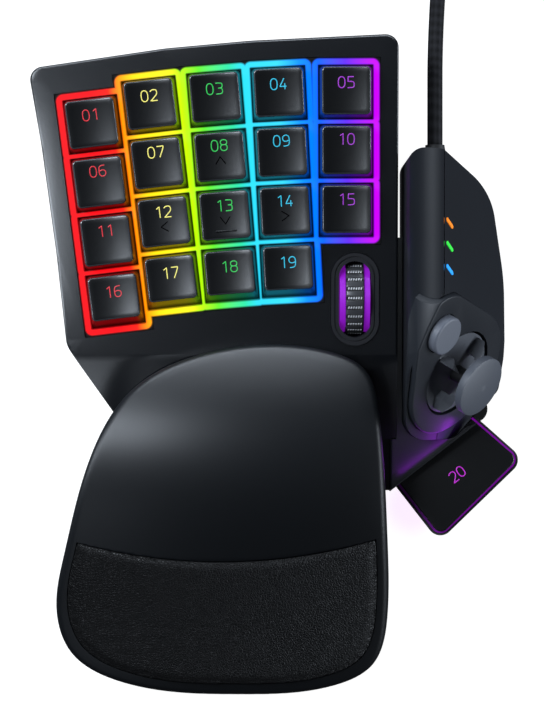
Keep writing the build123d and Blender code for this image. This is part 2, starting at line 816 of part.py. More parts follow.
pad.part.label = "thumb_pad"
export_step(pad.part, "parts/thumb_pad.step")

# Gimbal ring: the pad's hub turns in it about one axis, and it turns in the bracket about the other
with BuildPart() as pad_gimbal:
    with BuildSketch(pivot_plane.offset(-gimbal_height / 2)):
        Circle(gimbal_outer_radius)
        Circle(gimbal_inner_radius, mode=Mode.SUBTRACT)
    extrude(amount=gimbal_height)
    cross_plane = Plane(pivot_plane * Location((0, 0, 0), (0, 90, 0)))
    trunnion_reach = gimbal_outer_radius + ear_gap + ear_thickness
    for side in (-1, 1):
        with BuildSketch(cross_plane.offset(side * (gimbal_inner_radius + run_gap))):
            Circle(trunnion_radius)
        extrude(amount=side * (trunnion_reach - gimbal_inner_radius - run_gap))
    with BuildSketch(Plane(pivot_plane * Location((0, 0, 0), (90, 0, 0)))):
        Circle(pin_hole_radius)
    extrude(amount=2 * gimbal_outer_radius, both=True, mode=Mode.SUBTRACT)
pad_gimbal.part.label = "pad_gimbal"
export_step(pad_gimbal.part, "parts/pad_gimbal.step")

# Bracket under the panel: a cup for the pad with two ears for the gimbal, and a smaller cup for the button
ear_inner = gimbal_outer_radius + ear_gap
floor_top = bracket_floor_depth - bracket_wall
mouth_radius = pad_hole_radius + bracket_wall
cup_outer = [
    (0, -bracket_floor_depth), (bracket_floor_radius, -bracket_floor_depth),
    (mouth_radius, -bracket_mouth_depth), (mouth_radius, -panel_thickness),
    (0, -panel_thickness),
]
cup_inner = [
    (0, -floor_top), (bracket_floor_radius - bracket_wall, -floor_top),
    (pad_hole_radius, -bracket_mouth_depth), (pad_hole_radius, 0), (0, 0),
]
cup_section = Plane(origin=panel_plane.origin, x_dir=panel_plane.x_dir, z_dir=-panel_plane.y_dir)
button_cup_radius = button_hole_radius + button_flange + button_cup_wall
with BuildPart() as pad_bracket:
    with BuildSketch(cup_section):
        with BuildLine():
            Polyline(*cup_outer, close=True)
        make_face()
    revolve(axis=panel_axis)
    with BuildSketch(panel_plane.offset(-button_cup_depth - button_cup_wall)):
        with Locations(button_place):
            Circle(button_cup_radius)
    extrude(amount=button_cup_depth + button_cup_wall - panel_thickness)
    with BuildSketch(panel_plane.offset(-button_cup_depth)):
        with Locations(button_place):
            Circle(button_cup_radius - button_cup_wall)
    extrude(amount=button_cup_depth, mode=Mode.SUBTRACT)
    with BuildSketch(cup_section):
        with BuildLine():
            Polyline(*cup_inner, close=True)
        make_face()
    revolve(axis=panel_axis, mode=Mode.SUBTRACT)
    for side in (-1, 1):
        with BuildSketch(panel_plane.offset(-floor_top)):
            with Locations((side * (ear_inner + ear_thickness / 2), 0)):
                Rectangle(ear_thickness, ear_width)
        extrude(amount=floor_top - pivot_depth + ear_above_pivot)
    with BuildSketch(cross_plane):
        Circle(pin_hole_radius)
    extrude(amount=ear_inner + ear_thickness, both=True, mode=Mode.SUBTRACT)
    add(pod_profile(pod_wall + seam_gap - panel_raise, panel_depth), mode=Mode.INTERSECT)
    extrude(pod_outline(pod_wall + seam_gap), amount=tall, mode=Mode.INTERSECT)
pad_bracket.part.label = "pad_bracket"
export_step(pad_bracket.part, "parts/pad_bracket.step")

# Stick: a crowned cap on a stem whose pin pushes into the pad's hub
with BuildPart() as stick_cap:
    with BuildSketch(panel_plane.offset(stick_top - stick_thickness)):
        Circle(stick_radius)
    extrude(amount=stick_thickness)
    crown_radius = (stick_radius**2 + stick_crown**2) / (2 * stick_crown)
    with BuildSketch(Plane(panel_plane * Location((0, 0, stick_top - crown_radius), (90, 0, 0)))):
        with BuildLine():
            CenterArc((0, 0), crown_radius, -90, 180)
            Line((0, crown_radius), (0, -crown_radius))
        make_face()
    revolve(axis=panel_axis, mode=Mode.INTERSECT)
    with BuildSketch(panel_plane.offset(stick_top - stick_thickness)):
        Circle(stick_stem_radius)
    extrude(amount=-(stick_top - stick_thickness + pad_top_drop - seam_gap))
    with BuildSketch(pad_top):
        Circle(stick_pin_radius)
    extrude(amount=stick_thickness)
    with BuildSketch(pad_top):
        Circle(stick_pin_radius)
    extrude(amount=-stick_pin_length)
stick_cap.part.label = "stick_cap"
export_step(stick_cap.part, "parts/stick_cap.step")

# Round push button with a flange that keeps it in the panel
with BuildPart() as mode_button:
    with BuildSketch(panel_plane.offset(button_rise)):
        with Locations(button_place):
            Circle(button_radius)
    extrude(amount=-(button_rise + panel_thickness + seam_gap))
    fillet(mode_button.faces().sort_by(panel_axis)[-1].edges(), radius=button_edge_round)
    with BuildSketch(panel_plane.offset(-panel_thickness - seam_gap)):
        with Locations(button_place):
            Circle(button_hole_radius + button_flange - run_gap)
    extrude(amount=-button_flange_thickness)
    with BuildSketch(panel_plane.offset(-panel_thickness - seam_gap)):
        with Locations(button_place):
            Circle(stem_radius)
    extrude(amount=-(button_cup_depth - panel_thickness - seam_gap - button_travel - run_gap))
mode_button.part.label = "mode_button"
export_step(mode_button.part, "parts/mode_button.step")

# Small board on the bracket's floor, with four contacts under the pad's feet
with BuildPart() as pad_board:
    with BuildSketch(panel_plane.offset(-floor_top)):
        Circle(pad_board_radius)
        for side in (-1, 1):
            with Locations((side * (ear_inner + ear_thickness / 2), 0)):
                Rectangle(ear_thickness + 2 * run_gap, ear_width + 2 * run_gap, mode=Mode.SUBTRACT)
        Circle(gimbal_inner_radius, mode=Mode.SUBTRACT)
    extrude(amount=pad_board_thickness)
pad_board.part.label = "pad_board"
export_step(pad_board.part, "parts/pad_board.step")

# Bridge: the sloping cover that joins the deck to the pod and ends in a tip over the twentieth key
bridge_points = [
    (deck_right + seam_gap, side_slot_end_y), (pod_left + wall, side_slot_end_y),
    (pod_left + pod_width / 2, pod_front + wall), (bridge_right_x, bridge_right_y),
    (bridge_tip_x, bridge_tip_y), (bridge_tip_x, deck_front - seam_gap),
    (deck_right + seam_gap, deck_front - seam_gap),
]
bridge_high = deck_height - bridge_below_deck
bridge_low = bridge_high - bridge_drop
bridge_fall = degrees(atan2(bridge_drop, side_slot_end_y - bridge_tip_y))
bridge_top = Plane(origin=(deck_right, side_slot_end_y, bridge_high))
bridge_plane = Plane(bridge_top * Location((0, 0, 0), (bridge_fall, 0, 0)))
thumb_plane = Plane(Plane(origin=(thumb_x, thumb_y, 0)) * Location((0, 0, 0), (0, 0, thumb_turn)))
thumb_cut_width = 2 * (thumb_left + thumb_rim_reach + 2 * run_gap)
with BuildSketch() as bridge_outline:
    with BuildLine():
        Polyline(*bridge_points, close=True)
    make_face()
with BuildPart() as bridge_cover:
    extrude(bridge_outline.sketch, amount=tall)
    split(bisect_by=bridge_plane, keep=Keep.BOTTOM)
    fillet(bridge_cover.faces().sort_by(Axis.Z)[-1].edges().sort_by(Axis.Y)[:2], radius=deck_edge_round)
    with BuildSketch():
        with BuildLine():
            Polyline(*bridge_points, close=True)
        make_face()
        offset(amount=-wall)
    extrude(amount=bridge_low - bridge_skin, mode=Mode.SUBTRACT)
    split(bisect_by=Plane.XY.offset(pod_seat_z), keep=Keep.TOP)
    extrude(pod_outline(-seam_gap), amount=tall, mode=Mode.SUBTRACT)
    with BuildSketch(thumb_plane):
        Rectangle(thumb_cut_width, 3 * wall)
    extrude(amount=bridge_low - bridge_skin, mode=Mode.SUBTRACT)
bridge_cover.part.label = "bridge_cover"
export_step(bridge_cover.part, "parts/bridge_cover.step")

# Twentieth key: a cap on a clear plate on a lever, hinged on a pin inside the housing's front edge
cap_under = thumb_top - thumb_cap_height
light_under_cap = cap_under - thumb_light_thickness
lever_under = light_under_cap - thumb_lever_thickness
pivot_z = lever_under + thumb_lever_thickness / 2 - run_gap
pin_plane = Plane(thumb_plane * Location((0, thumb_pivot_inside, pivot_z), (0, 90, 0)))


def thumb_face(grow, height):
    """The key's outline in plan, grown by a reach on its three free sides."""
    with BuildSketch(thumb_plane.offset(height)) as face:
        with BuildLine():
            FilletPolyline(
                (-thumb_left - grow, 0), (-thumb_left - grow, -thumb_depth - grow),
                (thumb_right + grow, -thumb_depth_right - grow), (thumb_right_inner + grow, 0),
                radius=(0, thumb_corner + grow, thumb_corner + grow, 0), close=True,
            )
        make_face()
    return face.sketch


with BuildPart() as thumb_key:
    extrude(thumb_face(0, cap_under), amount=thumb_cap_height)
    fillet(thumb_key.faces().sort_by(Axis.Z)[-1].edges(), radius=keycap_edge_round)
    extrude(thumb_face(-thumb_wall, cap_under), amount=thumb_cap_height - thumb_roof, mode=Mode.SUBTRACT)
thumb_key.part.label = "keycap_20"
export_step(thumb_key.part, "parts/keycap_20.step")

with BuildPart() as thumb_light:
    extrude(thumb_face(thumb_light_reach, light_under_cap), amount=thumb_light_thickness)
thumb_light.part.label = "thumb_key_light"
export_step(thumb_light.part, "parts/thumb_key_light.step")

with BuildPart() as thumb_lever:
    extrude(thumb_face(thumb_rim_reach, lever_under), amount=thumb_lever_thickness)
    extrude(thumb_face(thumb_rim_reach, light_under_cap), amount=thumb_light_thickness)
    light_space = thumb_face(thumb_light_reach + run_gap / 2, light_under_cap)
    extrude(light_space, amount=thumb_light_thickness, mode=Mode.SUBTRACT)
    with BuildSketch(thumb_plane.offset(lever_under)):
        with Locations((0, thumb_pivot_inside / 2)):
            Rectangle(2 * thumb_barrel_half, thumb_pivot_inside)
    extrude(amount=thumb_lever_thickness)
    with BuildSketch(pin_plane):
        Circle(thumb_barrel_radius)
    extrude(amount=thumb_barrel_half, both=True)
    with BuildSketch(pin_plane):
        Circle(thumb_pin_radius + axle_clearance)
    extrude(amount=thumb_barrel_half, both=True, mode=Mode.SUBTRACT)
thumb_lever.part.label = "thumb_key_lever"
export_step(thumb_lever.part, "parts/thumb_key_lever.step")

pin_half = thumb_barrel_half + run_gap + thumb_ear
with BuildPart() as thumb_pin:
    with BuildSketch(pin_plane):
        Circle(thumb_pin_radius)
    extrude(amount=pin_half, both=True)
thumb_pin.part.label = "thumb_key_pin"
export_step(thumb_pin.part, "parts/thumb_key_pin.step")

# Base tray: one floor under the deck, the bridge and the pod, with walls up to each of their seams, posts
# for the screws, ears for the key's pin, a post for the wheel and rails for the palm rest's tongue
tongue_z = tray_floor + rail_lip
tongue_back_y = deck_front + tongue_into_tray
slot_height = tongue_thickness + 2 * run_gap
slot_width = tongue_width + 2 * run_gap


def tray_block(inset, deck_drop, side_top):
    """The tray's plan in three parts, each up to its own seam."""
    with BuildPart() as block:
        extrude(deck_outline(inset), amount=tall)
        split(bisect_by=seam_plane.offset(-deck_drop), keep=Keep.BOTTOM)
        with BuildSketch():
            with BuildLine():
                Polyline(
                    (deck_right - 2 * wall, side_slot_end_y), (pod_left + wall, side_slot_end_y),
                    (pod_left + pod_width / 2, pod_front + wall), (bridge_right_x, bridge_right_y),
                    (bridge_tip_x, bridge_tip_y), (bridge_tip_x, deck_front),
                    (deck_right - 2 * wall, deck_front), close=True,
                )
            make_face()
            add(pod_outline(0))
            if inset:
                offset(amount=-inset)
        extrude(amount=side_top)
        if inset:
            with BuildSketch():
                with Locations((deck_right, (side_slot_end_y + deck_front) / 2)):
                    Rectangle(3 * wall, side_slot_end_y - deck_front - 2 * wall)
            extrude(amount=side_top)
            split(bisect_by=Plane.XY.offset(tray_floor), keep=Keep.TOP)
    return block.part


pod_back = pod_front + pod_length
gland_plane = Plane(origin=(cord_exit_x, pod_back, cord_exit_z), x_dir=(1, 0, 0), z_dir=(0, 1, 0))
tray_outer = tray_block(0, seam_gap, pod_seat)
tray_inner = tray_block(wall, -tall, tall)
with BuildPart() as tray_posts:
    with BuildSketch(deck_plane.offset(-board_under)):
        with Locations(stack_locations):
            Circle(post_radius)
    extrude(amount=-tall)
    with BuildSketch():
        with Locations(deck_screws):
            Circle(boss_radius)
    extrude(amount=deck_height)
    split(bisect_by=seam_plane.offset(-seam_gap), keep=Keep.BOTTOM)
    with BuildSketch(wheel_plane.offset(-cradle_under - wheel_press - run_gap)):
        Circle(cradle_post_radius)
    extrude(amount=-tall)
    for side in (-1, 1):
        with BuildSketch(pin_plane.offset(side * (thumb_barrel_half + run_gap))):
            Circle(thumb_barrel_radius)
            with Locations((thumb_barrel_radius, 0)):
                Rectangle(2 * thumb_barrel_radius, 2 * thumb_barrel_radius)
        extrude(amount=side * thumb_ear)
    for side in (-1, 1):
        rail_x = tongue_x + side * (slot_width / 2 + rail_wall / 2)
        with BuildSketch():
            with Locations((rail_x, (deck_front + tongue_back_y) / 2)):
                Rectangle(rail_wall, tongue_into_tray)
        extrude(amount=tongue_z + slot_height)
        with BuildSketch(Plane.XY.offset(tongue_z + tongue_thickness + run_gap)):
            with Locations((rail_x - side * rail_wall, (deck_front + tongue_back_y) / 2)):
                Rectangle(rail_wall, tongue_into_tray)
        extrude(amount=rail_lip)
        with BuildSketch():
            with Locations((rail_x - side * 2 * rail_wall, (deck_front + tongue_back_y) / 2)):
                Rectangle(rail_wall, tongue_into_tray)
        extrude(amount=tongue_z - run_gap / 2)
    split(bisect_by=Plane.XY.offset(tray_floor - overrun), keep=Keep.TOP)

foot_places = [
    Location((deck_points[0][0] + foot_length, deck_points[0][1] - foot_width)),
    Location((deck_right - foot_length, deck_points[1][1] - foot_width)),
    Location((tongue_x, deck_front + foot_width)),
    Location((pod_left + pod_width / 2, pod_front + pod_length * 3 / 4)),
    Location((pod_left + pod_width / 2, pod_front + foot_width)),
]
with BuildPart() as base_tray:
    add(tray_outer)
    add(tray_inner, mode=Mode.SUBTRACT)
    split(bisect_by=Plane.XY.offset(foot_height), keep=Keep.TOP)
    add(tray_posts.part)
    with BuildSketch(Plane.XY.offset(foot_height)):
        with Locations(foot_places):
            SlotOverall(foot_length, foot_width)
    extrude(amount=foot_pocket, mode=Mode.SUBTRACT)
    with BuildSketch(deck_plane.offset(-board_under)):
        with Locations(stack_locations):
            Circle(screw_radius + run_gap)
    extrude(amount=-tall, mode=Mode.SUBTRACT)
    with BuildSketch(deck_plane.offset(-board_under - screw_bite)):
        with Locations(stack_locations):
            Circle(screw_head_radius + run_gap)
    extrude(amount=-tall, mode=Mode.SUBTRACT)
    with BuildSketch():
        with Locations(deck_screws):
            Circle(screw_radius + run_gap)
    extrude(amount=tall, mode=Mode.SUBTRACT)
    with BuildSketch(Plane.XY.offset(foot_height)):
        with Locations(deck_screws):
            Circle(screw_head_radius + run_gap)
    extrude(amount=screw_seam_z - screw_bite - foot_height, mode=Mode.SUBTRACT)
    with BuildSketch(pin_plane):
        Circle(thumb_pin_radius + socket_clearance)
    extrude(amount=pin_half, both=True, mode=Mode.SUBTRACT)
    with BuildSketch(Plane.XY.offset(tongue_z - run_gap)):
        with Locations((tongue_x, deck_front)):
            Rectangle(slot_width, 3 * wall)
    extrude(amount=slot_height, mode=Mode.SUBTRACT)
    with BuildSketch(thumb_plane.offset(lever_under - thumb_wall)):
        Rectangle(thumb_cut_width, 3 * wall)
    extrude(amount=tall, mode=Mode.SUBTRACT)
    with BuildSketch(gland_plane):
        Circle(gland_radius + seam_gap)
    extrude(amount=-(gland_inside - gland_collar), mode=Mode.SUBTRACT)
base_tray.part.label = "base_tray"
export_step(base_tray.part, "parts/base_tray.step")

# Rubber feet, set in pockets under the tray
with BuildPart() as rubber_feet:
    with BuildSketch():
        with Locations(foot_places):
            SlotOverall(foot_length - 2 * seam_gap, foot_width - 2 * seam_gap)
    extrude(amount=foot_height + foot_pocket)
rubber_feet.part.label = "rubber_feet"
export_step(rubber_feet.part, "parts/rubber_feet.step")

# Screws: four along the deck's normal into the switch plate, two upright into the deck shell
with BuildPart() as stack_screw:
    with BuildSketch(Plane.XY.offset(-board_under - screw_bite - screw_head_height)):
        Circle(screw_head_radius)
    extrude(amount=screw_head_height)
    with BuildSketch(Plane.XY.offset(-board_under - screw_bite)):
        Circle(screw_radius - seam_gap)
    extrude(amount=2 * screw_bite)
with BuildPart() as housing_screws:
    for place in stack_locations:
        add(deck_plane.location * place * stack_screw.part)
    with BuildSketch(Plane.XY.offset(screw_seam_z - screw_bite - screw_head_height)):
        with Locations(deck_screws):
            Circle(screw_head_radius)
    extrude(amount=screw_head_height)
    with BuildSketch(Plane.XY.offset(screw_seam_z - screw_bite)):
        with Locations(deck_screws):
            Circle(screw_radius - seam_gap)
    extrude(amount=screw_bite + deck_screw_reach)
housing_screws.part.label = "housing_screws"
export_step(housing_screws.part, "parts/housing_screws.step")

# Palm rest: a dome lofted through arcs, inside its own outline in plan, hollow underneath
palm_width = palm_right - palm_left
palm_length = palm_back - palm_front
palm_middle = (palm_left + palm_right) / 2


def palm_outline(inset):
    """The palm rest's outline in plan, a smooth closed curve, drawn in by inset."""
    width = palm_width - 2 * inset
    length = palm_length - 2 * inset
    left = palm_left + inset
    front = palm_front + inset
    points = [(left + x * width, front + y * length) for x, y in palm_outline_shares]
    with BuildSketch() as outline:
        with BuildLine():
            Spline(*points, periodic=True)
        make_face()
    return outline.sketch


def palm_dome(lift, crown):
    """Everything under the dome raised by lift, its sides lowered by crown against its middle."""
    with BuildPart() as dome_block:
        for share, height in zip(palm_section_shares, palm_top_heights):
            with BuildSketch(Plane.XZ.offset(-palm_front - share * palm_length)):
                with BuildLine():
                    left = palm_left - palm_side_overhang
                    right = palm_right + palm_side_overhang
                    side = height + lift - palm_side_drop - crown
                    Polyline((left, side), (left, -deck_height), (right, -deck_height), (right, side))
                    ThreePointArc((left, side), (palm_middle, height + lift), (right, side))
                make_face()
        loft()
    return dome_block.part


def over_deck(grow):
    """The space that the palm rest leaves round the housing that it overhangs."""
    with BuildPart() as space:
        extrude(deck_outline(-grow), amount=tall)
        split(bisect_by=deck_plane.offset(grow + palm_over_deck - palm_behind_deck), keep=Keep.BOTTOM)
        split(bisect_by=apron_plane.offset(grow + palm_over_deck - palm_behind_deck), keep=Keep.BOTTOM)
    return space.part



def cushion_block(inset):
    """The pad's outline in plan: the palm rest's front, cut off behind by an arc that dips in the middle."""
    back = cushion_back_y - inset + cushion_inset
    with BuildSketch() as outline:
        add(palm_outline(inset))
        with BuildLine():
            ends = ((palm_left - overrun, back), (palm_right + overrun, back))
            ThreePointArc(ends[0], (palm_middle, back - cushion_dip), ends[1])
            Polyline(
                ends[0], (palm_left - overrun, palm_front - overrun),
                (palm_right + overrun, palm_front - overrun), ends[1],
            )
        make_face(mode=Mode.INTERSECT)
    return extrude(outline.sketch, amount=tall, mode=Mode.PRIVATE)


palm_foot_z = foot_height
palm_floor_y = deck_front - palm_behind_deck - wall - run_gap
with BuildPart() as palm_shell:
    extrude(palm_outline(0), amount=tall)
    add(palm_dome(0, 0), mode=Mode.INTERSECT)
    split(bisect_by=Plane.XY.offset(palm_foot_z), keep=Keep.TOP)
    fillet(palm_shell.faces().sort_by(Axis.Z)[-1].edges(), radius=palm_edge_round)
with BuildPart() as palm_cavity:
    extrude(palm_outline(palm_wall), amount=tall)
    add(palm_dome(-palm_wall - cushion_sink, 0), mode=Mode.INTERSECT)
    add(over_deck(palm_behind_deck + wall), mode=Mode.SUBTRACT)
with BuildPart() as palm_top:
    add(palm_shell.part)
    add(palm_cavity.part, mode=Mode.SUBTRACT)
    add(over_deck(palm_behind_deck), mode=Mode.SUBTRACT)
    add(cushion_block(cushion_inset) - palm_dome(-cushion_sink, 0), mode=Mode.SUBTRACT)
    with BuildSketch(Plane.XY.offset(tongue_z - run_gap)):
        with Locations((tongue_x, palm_floor_y)):
            Rectangle(slot_width, 4 * wall)
    extrude(amount=slot_height, mode=Mode.SUBTRACT)
palm_top.part.label = "palm_shell"
export_step(palm_top.part, "parts/palm_shell.step")

with BuildPart() as palm_cushion:
    add(cushion_block(cushion_inset + seam_gap) & palm_dome(cushion_rise, cushion_rise))
    add(palm_dome(seam_gap - cushion_sink, 0), mode=Mode.SUBTRACT)
palm_cushion.part.label = "palm_cushion"
export_step(palm_cushion.part, "parts/palm_cushion.step")

# Base of the palm rest, the tongue on it that slides in the tray's rails, its latch and its feet
palm_floor_top = tongue_z
with BuildPart() as palm_base:
    with BuildSketch(Plane.XY.offset(palm_foot_z)):
        add(palm_outline(palm_wall + seam_gap))
        with Locations((palm_middle, palm_front)):
            Rectangle(2 * palm_width, 2 * (palm_floor_y - palm_front), mode=Mode.INTERSECT)
    extrude(amount=palm_floor_top - palm_foot_z)
    with BuildSketch(Plane.XY.offset(palm_foot_z)):
        with Locations((tongue_x, palm_floor_y + latch_y)):
            Rectangle(latch_width + 2 * run_gap, latch_length + latch_travel + 2 * run_gap)
    extrude(amount=latch_thickness + run_gap, mode=Mode.SUBTRACT)
    palm_feet_places = [
        Location((palm_left + palm_width / 4, palm_front + foot_length / 2)),
        Location((palm_right - palm_width / 4, palm_front + foot_length / 2)),
    ]
    with BuildSketch(Plane.XY.offset(palm_foot_z)):
        with Locations(palm_feet_places):
            SlotOverall(foot_length, foot_width)
    extrude(amount=foot_pocket, mode=Mode.SUBTRACT)
palm_base.part.label = "palm_base"
export_step(palm_base.part, "parts/palm_base.step")

with BuildPart() as palm_tongue:
    with BuildSketch(Plane.XY.offset(tongue_z)):
        with Locations((tongue_x, deck_front + (tongue_into_tray - tongue_under_palm - run_gap) / 2)):
            Rectangle(tongue_width, tongue_into_tray + tongue_under_palm - run_gap)
    extrude(amount=tongue_thickness)
palm_tongue.part.label = "palm_tongue"
export_step(palm_tongue.part, "parts/palm_tongue.step")

with BuildPart() as palm_latch:
    with BuildSketch(Plane.XY.offset(palm_foot_z)):
        with Locations((tongue_x, palm_floor_y + latch_y + latch_travel / 2)):
            Rectangle(latch_width, latch_length)
    extrude(amount=latch_thickness)
palm_latch.part.label = "palm_latch"
export_step(palm_latch.part, "parts/palm_latch.step")

with BuildPart() as palm_feet:
    with BuildSketch():
        with Locations(palm_feet_places):
            SlotOverall(foot_length - 2 * seam_gap, foot_width - 2 * seam_gap)
    extrude(amount=foot_height + foot_pocket)
palm_feet.part.label = "palm_feet"
export_step(palm_feet.part, "parts/palm_feet.step")

# Gland: a sleeve through the tray's back wall, tapered outside and with a collar inside, that holds the cord
cord_radius = cord_diameter / 2
with BuildPart() as cable_gland:
    with BuildSketch(gland_plane.offset(-gland_inside)):
        Circle(gland_radius)
    extrude(amount=gland_inside)
    with BuildSketch(gland_plane.offset(-gland_inside)):
        Circle(gland_collar_radius)
    extrude(amount=gland_collar)
    with BuildSketch(gland_plane):
        Circle(gland_radius)
    with BuildSketch(gland_plane.offset(gland_outside)):
        Circle(gland_tip_radius)
    loft()
cable_gland.part.label = "cable_gland"
export_step(cable_gland.part, "parts/cable_gland.step")

# Cord: out of the gland, down to the floor and on to the coil, and from the coil's top down to the plug
coil_low_z = cord_radius + coil_lift
coil_top_z = coil_low_z + (coil_layers - 1) * coil_step
lead_points = [
    (48.7, 70.1, 7.9), (48.7, 83.0, 7.9), (49.0, 100.0, 3.3), (49.8, 117.5, 3.2),
    (51.0, 133.0, 3.2), (50.5, 145.2, 3.2), (50.5, 155.2, 3.2),
]
tail_points = [
    (50.5, 164.8, 19.7), (50.5, 175.0, 19.7), (50.0, 188.0, 16.0), (44.0, 200.0, 10.0), (32.5, 208.0, 5.6),
    (18.5, 210.5, 4.2), (5.0, 209.5, 4.0), (-6.0, 209.5, 4.0),
]


def cord_tube(points):
    """A tube along straight runs joined by arcs as large as the runs allow."""
    points = [Vector(*point) for point in points]
    radii = []
    for before, corner, after in zip(points, points[1:], points[2:]):
        arriving, leaving = corner - before, after - corner
        half_turn = radians(arriving.get_angle(leaving)) / 2
        radii.append(0.45 * min(arriving.length, leaving.length) / tan(half_turn))
    with BuildPart() as tube:
        with BuildLine() as path:
            FilletPolyline(*points, radius=radii)
        with BuildSketch(Plane(origin=path.line @ 0, z_dir=path.line % 0)):
            Circle(cord_radius)
        sweep(path=path.line)
    length = sum(edge.length for edge in path.line.edges())
    share = tube.part.volume / (pi * cord_radius**2 * length)
    print("cord radii", [round(radius, 1) for radius in radii])
    print("cord length", round(length, 1), "volume share", round(share, 4))
    return tube.part


cable_lead = cord_tube(lead_points)
cable_lead.label = "cable_lead"
export_step(cable_lead, "parts/cable_lead.step")
cable_tail = cord_tube(tail_points)
cable_tail.label = "cable_tail"
export_step(cable_tail, "parts/cable_tail.step")

# Coil: the cord spirals in and out again, a layer higher each time, through points a quarter turn apart
quarters_in_layer = int(coil_quarters * coil_turns_in_a_layer)
climb_quarters = coil_quarters * coil_climb_turns
quarter_count = quarters_in_layer * coil_layers


def coil_radius(quarter):
    """The spiral's radius after some quarter turns: in over one layer, out over the next."""
    through = quarter % (2 * quarters_in_layer)
    inward = min(through, 2 * quarters_in_layer - through)
    return coil_outer_radius - inward * coil_step / coil_quarters


def coil_height(quarter):
    """The cord's height: level through a layer, with a climb round each reversal."""
    height = coil_low_z
    for layer in range(1, coil_layers):
        progress = (quarter - layer * quarters_in_layer) / climb_quarters + 1 / 2
        progress = min(max(progress, 0), 1)
        height += coil_step * progress**2 * (3 - 2 * progress)
    return height


def coil_point(quarter):
    angle = quarter * pi / 2
    radius = coil_radius(quarter)
    x = coil_centre_x + radius * cos(angle)
    y = coil_centre_y + radius * sin(angle)
    return Vector(x, y, coil_height(quarter))


def coil_tangent(quarter):
    """The cord's direction at a point, from the radius and height of the points beside it."""
    angle = quarter * pi / 2
    before, after = max(quarter - 1, 0), min(quarter + 1, quarter_count)
    spread = 0 if quarter in (0, quarter_count) else (coil_radius(after) - coil_radius(before)) / 2
    rise = (coil_height(after) - coil_height(before)) / 2
    along = coil_radius(quarter) * pi / 2
    outward, round_it = Vector(cos(angle), sin(angle), 0), Vector(-sin(angle), cos(angle), 0)
    return (outward * spread + round_it * along + Vector(0, 0, 1) * rise).normalized()


def joint_reach(start, start_tangent, end, end_tangent):
    """How far along both tangents the two arcs of a biarc have their corners."""
    chord = end - start
    tangents = start_tangent + end_tangent
    spread = 2 * (1 - start_tangent.dot(end_tangent))
    across = chord.dot(tangents)
    return (-across + sqrt(across**2 + spread * chord.dot(chord))) / spread


coil_arcs = []
for quarter in range(quarter_count):
    start, end = coil_point(quarter), coil_point(quarter + 1)
    start_tangent, end_tangent = coil_tangent(quarter), coil_tangent(quarter + 1)
    reach = joint_reach(start, start_tangent, end, end_tangent)
    first_corner, second_corner = start + start_tangent * reach, end - end_tangent * reach
    middle = (first_corner + second_corner) / 2
    coil_arcs.append((start, middle, start_tangent))
    coil_arcs.append((middle, end, (second_corner - first_corner).normalized()))

first_end = coil_point(0) - coil_tangent(0) * cord_diameter
last_end = coil_point(quarter_count) + coil_tangent(quarter_count) * cord_diameter
with BuildPart() as cable_coil:
    with BuildLine() as coil_path:
        Line(first_end, coil_point(0))
        for start, end, tangent in coil_arcs:
            TangentArc(start, end, tangent=tangent)
        Line(coil_point(quarter_count), last_end)
    with BuildSketch(Plane(origin=first_end, z_dir=coil_tangent(0))):
        Circle(cord_radius)
    sweep(path=coil_path.line)
cable_coil.part.label = "cable_coil"
export_step(cable_coil.part, "parts/cable_coil.step")

coil_samples = 60
samples = [coil_point(index * quarter_count / (coil_samples * coil_turns_in_a_layer * coil_layers))
           for index in range(int(coil_samples * coil_turns_in_a_layer * coil_layers) + 1)]
least_gap = min(
    (samples[i] - samples[j]).length - cord_diameter
    for i in range(len(samples)) for j in range(i + coil_samples // 2, len(samples))
)
coil_length = sum(edge.length for edge in coil_path.line.edges())
coil_share = cable_coil.part.volume / (pi * cord_radius**2 * coil_length)
print("coil length", round(coil_length, 1), "least gap to itself", round(least_gap, 2))
print("coil volume share", round(coil_share, 4))

# Tie: a flat hook-and-loop band round all the cords on the coil's left side
tie_plane = Plane(
    Plane(origin=(coil_centre_x, coil_centre_y, 0)) * Location((0, 0, 0), (0, 0, tie_angle))
    * Location((0, 0, 0), (90, 0, 0))
)
coil_inner_radius = coil_outer_radius - coil_turns_in_a_layer * coil_step
tie_inner_x = sqrt((coil_inner_radius - cord_radius) ** 2 - tie_width**2 / 4) - tie_gap
tie_outer_x = coil_outer_radius + cord_radius + tie_gap
tie_low = coil_low_z - cord_radius - tie_gap
tie_high = coil_top_z + cord_radius + tie_gap
with BuildPart() as cable_tie:
    with BuildSketch(tie_plane):
        with Locations(((tie_inner_x + tie_outer_x) / 2, (tie_low + tie_high) / 2)):
            RectangleRounded(
                tie_outer_x - tie_inner_x + 2 * tie_thickness, tie_high - tie_low + 2 * tie_thickness,
                tie_corner + tie_thickness,
            )
            RectangleRounded(
                tie_outer_x - tie_inner_x, tie_high - tie_low, tie_corner, mode=Mode.SUBTRACT,
            )
    extrude(amount=tie_width / 2, both=True)
cable_tie.part.label = "cable_tie"
export_step(cable_tie.part, "parts/cable_tie.step")

